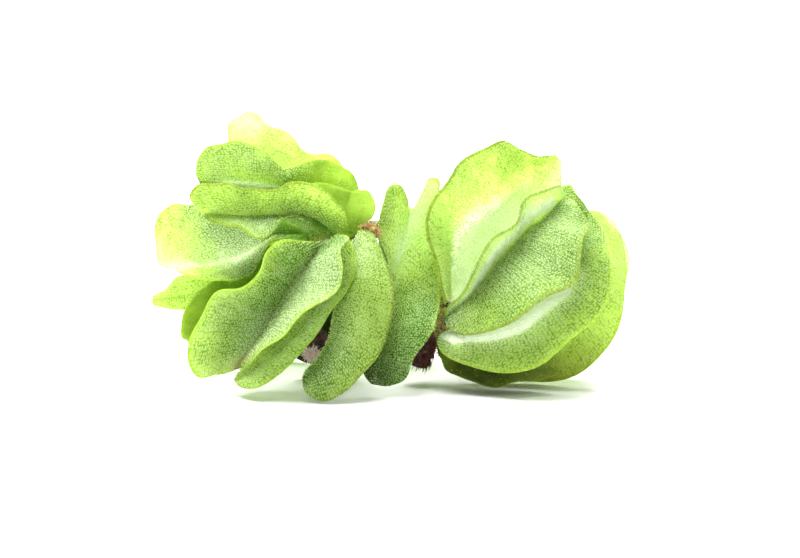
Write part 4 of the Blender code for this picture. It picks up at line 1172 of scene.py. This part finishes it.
class WATERMOSS_OT_roots(bpy.types.Operator):
    """Build the two dark root tufts from cores and fine rootlets"""
    bl_idname = "watermoss.roots"
    bl_label = "Roots"

    def execute(self, context):
        settings = context.scene.watermoss_stem
        bark = bark_material("root_skin", settings.maroon, settings.root_shade, 0.4)
        down = hair_material("root_down", settings.rootlet, settings.maroon, 0.1)
        for name, count in ROOT_HAIRS.items():
            root = TUBES[name]
            radii = np.asarray(root["radii"])
            core = tube(name + "_core", root["route"], 0.9 * radii, 16, 40, 0.12)
            add_piece(core, bark, "root_brown", name)
            chance = np.random.default_rng(SEEDS[name])
            line = smooth_line(root["route"], 100)
            spots = chance.integers(2, 90, count)
            along = spots / (len(line) - 1)
            tangent = unit(np.gradient(line, axis=0))[spots]
            radius = np.interp(along, np.linspace(0, 1, len(radii)), radii)[:, None]
            outward = unit(np.cross(tangent, chance.normal(size=(count, 3))))
            ways = unit(0.75 * outward + 0.8 * tangent)
            lengths = chance.uniform(0.8, 1.9, count) * (1.0 - 0.4 * along**2)
            starts = line[spots] + 0.75 * radius * outward
            bends = 0.35 * tangent - 0.25 * outward
            mesh = bristles(name + "_lets", starts, ways, bends, lengths, chance, **ROOTLET)
            add_piece(mesh, down, "root_brown")
        return {"FINISHED"}


class WATERMOSS_OT_bud(bpy.types.Operator):
    """Build the small downy bud low in the hollow"""
    bl_idname = "watermoss.bud"
    bl_label = "Bud"

    def execute(self, context):
        settings = context.scene.watermoss_stem
        ways = ball_directions(BUD_HAIRS)
        chance = np.random.default_rng(SEEDS["bud"])
        centre, size = np.array(BUD_CENTRE), 0.5 * np.array(BUD_SIZE)
        # The core is an egg, its radius the sine of half a turn
        turn = np.linspace(0, math.pi, 5)
        route = centre + np.stack([size[0] * -np.cos(turn), 0 * turn, 0 * turn], axis=1)
        core = tube("bud_core", route, np.maximum(np.sin(turn), 0.03) * size[2], 16, 30, 0.03)
        add_piece(core, bark_material("bud_skin", settings.bud, settings.maroon, 0.8), "bud_pink", "bud")
        lengths = 0.1 + 0.9 * chance.random(len(ways)) ** 3
        bends = chance.normal(0, 0.25, ways.shape)
        starts = centre + 0.8 * size * ways
        mesh = bristles("bud_hairs", starts, ways, bends, lengths, chance, **BUD_HAIR)
        add_piece(mesh, hair_material("bud_down", settings.bud_down, settings.bud, 0.6), "bud_pink")
        return {"FINISHED"}


class WATERMOSS_OT_stage(bpy.types.Operator):
    """Set up the pale floor, the soft white light and the camera"""
    bl_idname = "watermoss.stage"
    bl_label = "Stage"

    def execute(self, context):
        settings = context.scene.watermoss_stage
        half = 0.5 * settings.floor_size
        corners = np.array([[-half, -half, 0], [half, -half, 0], [half, half, 0], [-half, half, 0]])
        floor = bpy.data.objects.new("floor", make_mesh("floor", corners, [np.array([[0, 1, 2, 3]])], {}))
        paper = Graph("floor_white").finish({"Base Color": settings.floor, "Roughness": 0.5})
        floor.data.materials.append(paper)
        context.scene.collection.objects.link(floor)
        world = bpy.data.worlds.new("surround")
        world.use_nodes = True
        sky = world.node_tree.nodes["Background"]
        sky.inputs["Color"].default_value = (1.0, 1.0, 1.0, 1.0)
        sky.inputs["Strength"].default_value = settings.sky
        context.scene.world = world
        target = Vector(LOOKED_AT)
        for name, (place, size, power) in LIGHTS.items():
            lamp = bpy.data.lights.new(name, "AREA")
            lamp.energy = getattr(settings, power)
            lamp.size = size
            holder = bpy.data.objects.new(name, lamp)
            holder.location = place
            holder.rotation_euler = (target - Vector(place)).to_track_quat("-Z", "Y").to_euler()
            context.scene.collection.objects.link(holder)
        back = Vector((0.0, -math.cos(settings.elevation), math.sin(settings.elevation)))
        camera = bpy.data.objects.new("camera", bpy.data.cameras.new("camera"))
        camera.data.lens = LENS
        camera.data.sensor_width = SENSOR
        camera.data.clip_start = NEAREST
        camera.location = target + settings.distance * back
        camera.rotation_euler = (-back).to_track_quat("-Z", "Y").to_euler()
        context.scene.collection.objects.link(camera)
        context.scene.camera = camera
        context.scene.view_settings.view_transform = "Standard"
        context.scene.view_settings.exposure = settings.exposure
        return {"FINISHED"}


class WATERMOSS_PT_panel(bpy.types.Panel):
    """The steps that build the plant, in order, and their settings"""
    bl_idname = "WATERMOSS_PT_panel"
    bl_label = "Watermoss"
    bl_space_type = "VIEW_3D"
    bl_region_type = "UI"
    bl_category = "Watermoss"

    def draw(self, context):
        layout = self.layout
        for operator in OPERATORS:
            layout.operator(operator.bl_idname)
        for key, settings in SETTINGS.items():
            box = layout.box()
            box.label(text=settings.__name__)
            for item in settings.__annotations__:
                box.prop(getattr(context.scene, key), item)


SETTINGS = {
    "watermoss_leaves": LeafSettings, "watermoss_hairs": HairSettings, "watermoss_stem": StemSettings,
    "watermoss_stage": StageSettings,
}
OPERATORS = (WATERMOSS_OT_left_tuft, WATERMOSS_OT_middle_tuft, WATERMOSS_OT_right_tuft, WATERMOSS_OT_stem,
             WATERMOSS_OT_knot, WATERMOSS_OT_roots, WATERMOSS_OT_bud, WATERMOSS_OT_stage)


def register():
    """Add the settings, the steps and the panel."""
    for made in (*SETTINGS.values(), *OPERATORS, WATERMOSS_PT_panel):
        bpy.utils.register_class(made)
    for key, settings in SETTINGS.items():
        setattr(bpy.types.Scene, key, PointerProperty(type=settings))


def unregister():
    """Take them away again."""
    for key in SETTINGS:
        delattr(bpy.types.Scene, key)
    for made in reversed((*SETTINGS.values(), *OPERATORS, WATERMOSS_PT_panel)):
        bpy.utils.unregister_class(made)


def main():
    """Build the plant and its stage step by step."""
    register()
    bpy.ops.watermoss.left_tuft()
    bpy.ops.watermoss.middle_tuft()
    bpy.ops.watermoss.right_tuft()
    bpy.ops.watermoss.stem()
    bpy.ops.watermoss.knot()
    bpy.ops.watermoss.roots()
    bpy.ops.watermoss.bud()
    bpy.ops.watermoss.stage()


if __name__ == "__main__":
    main()
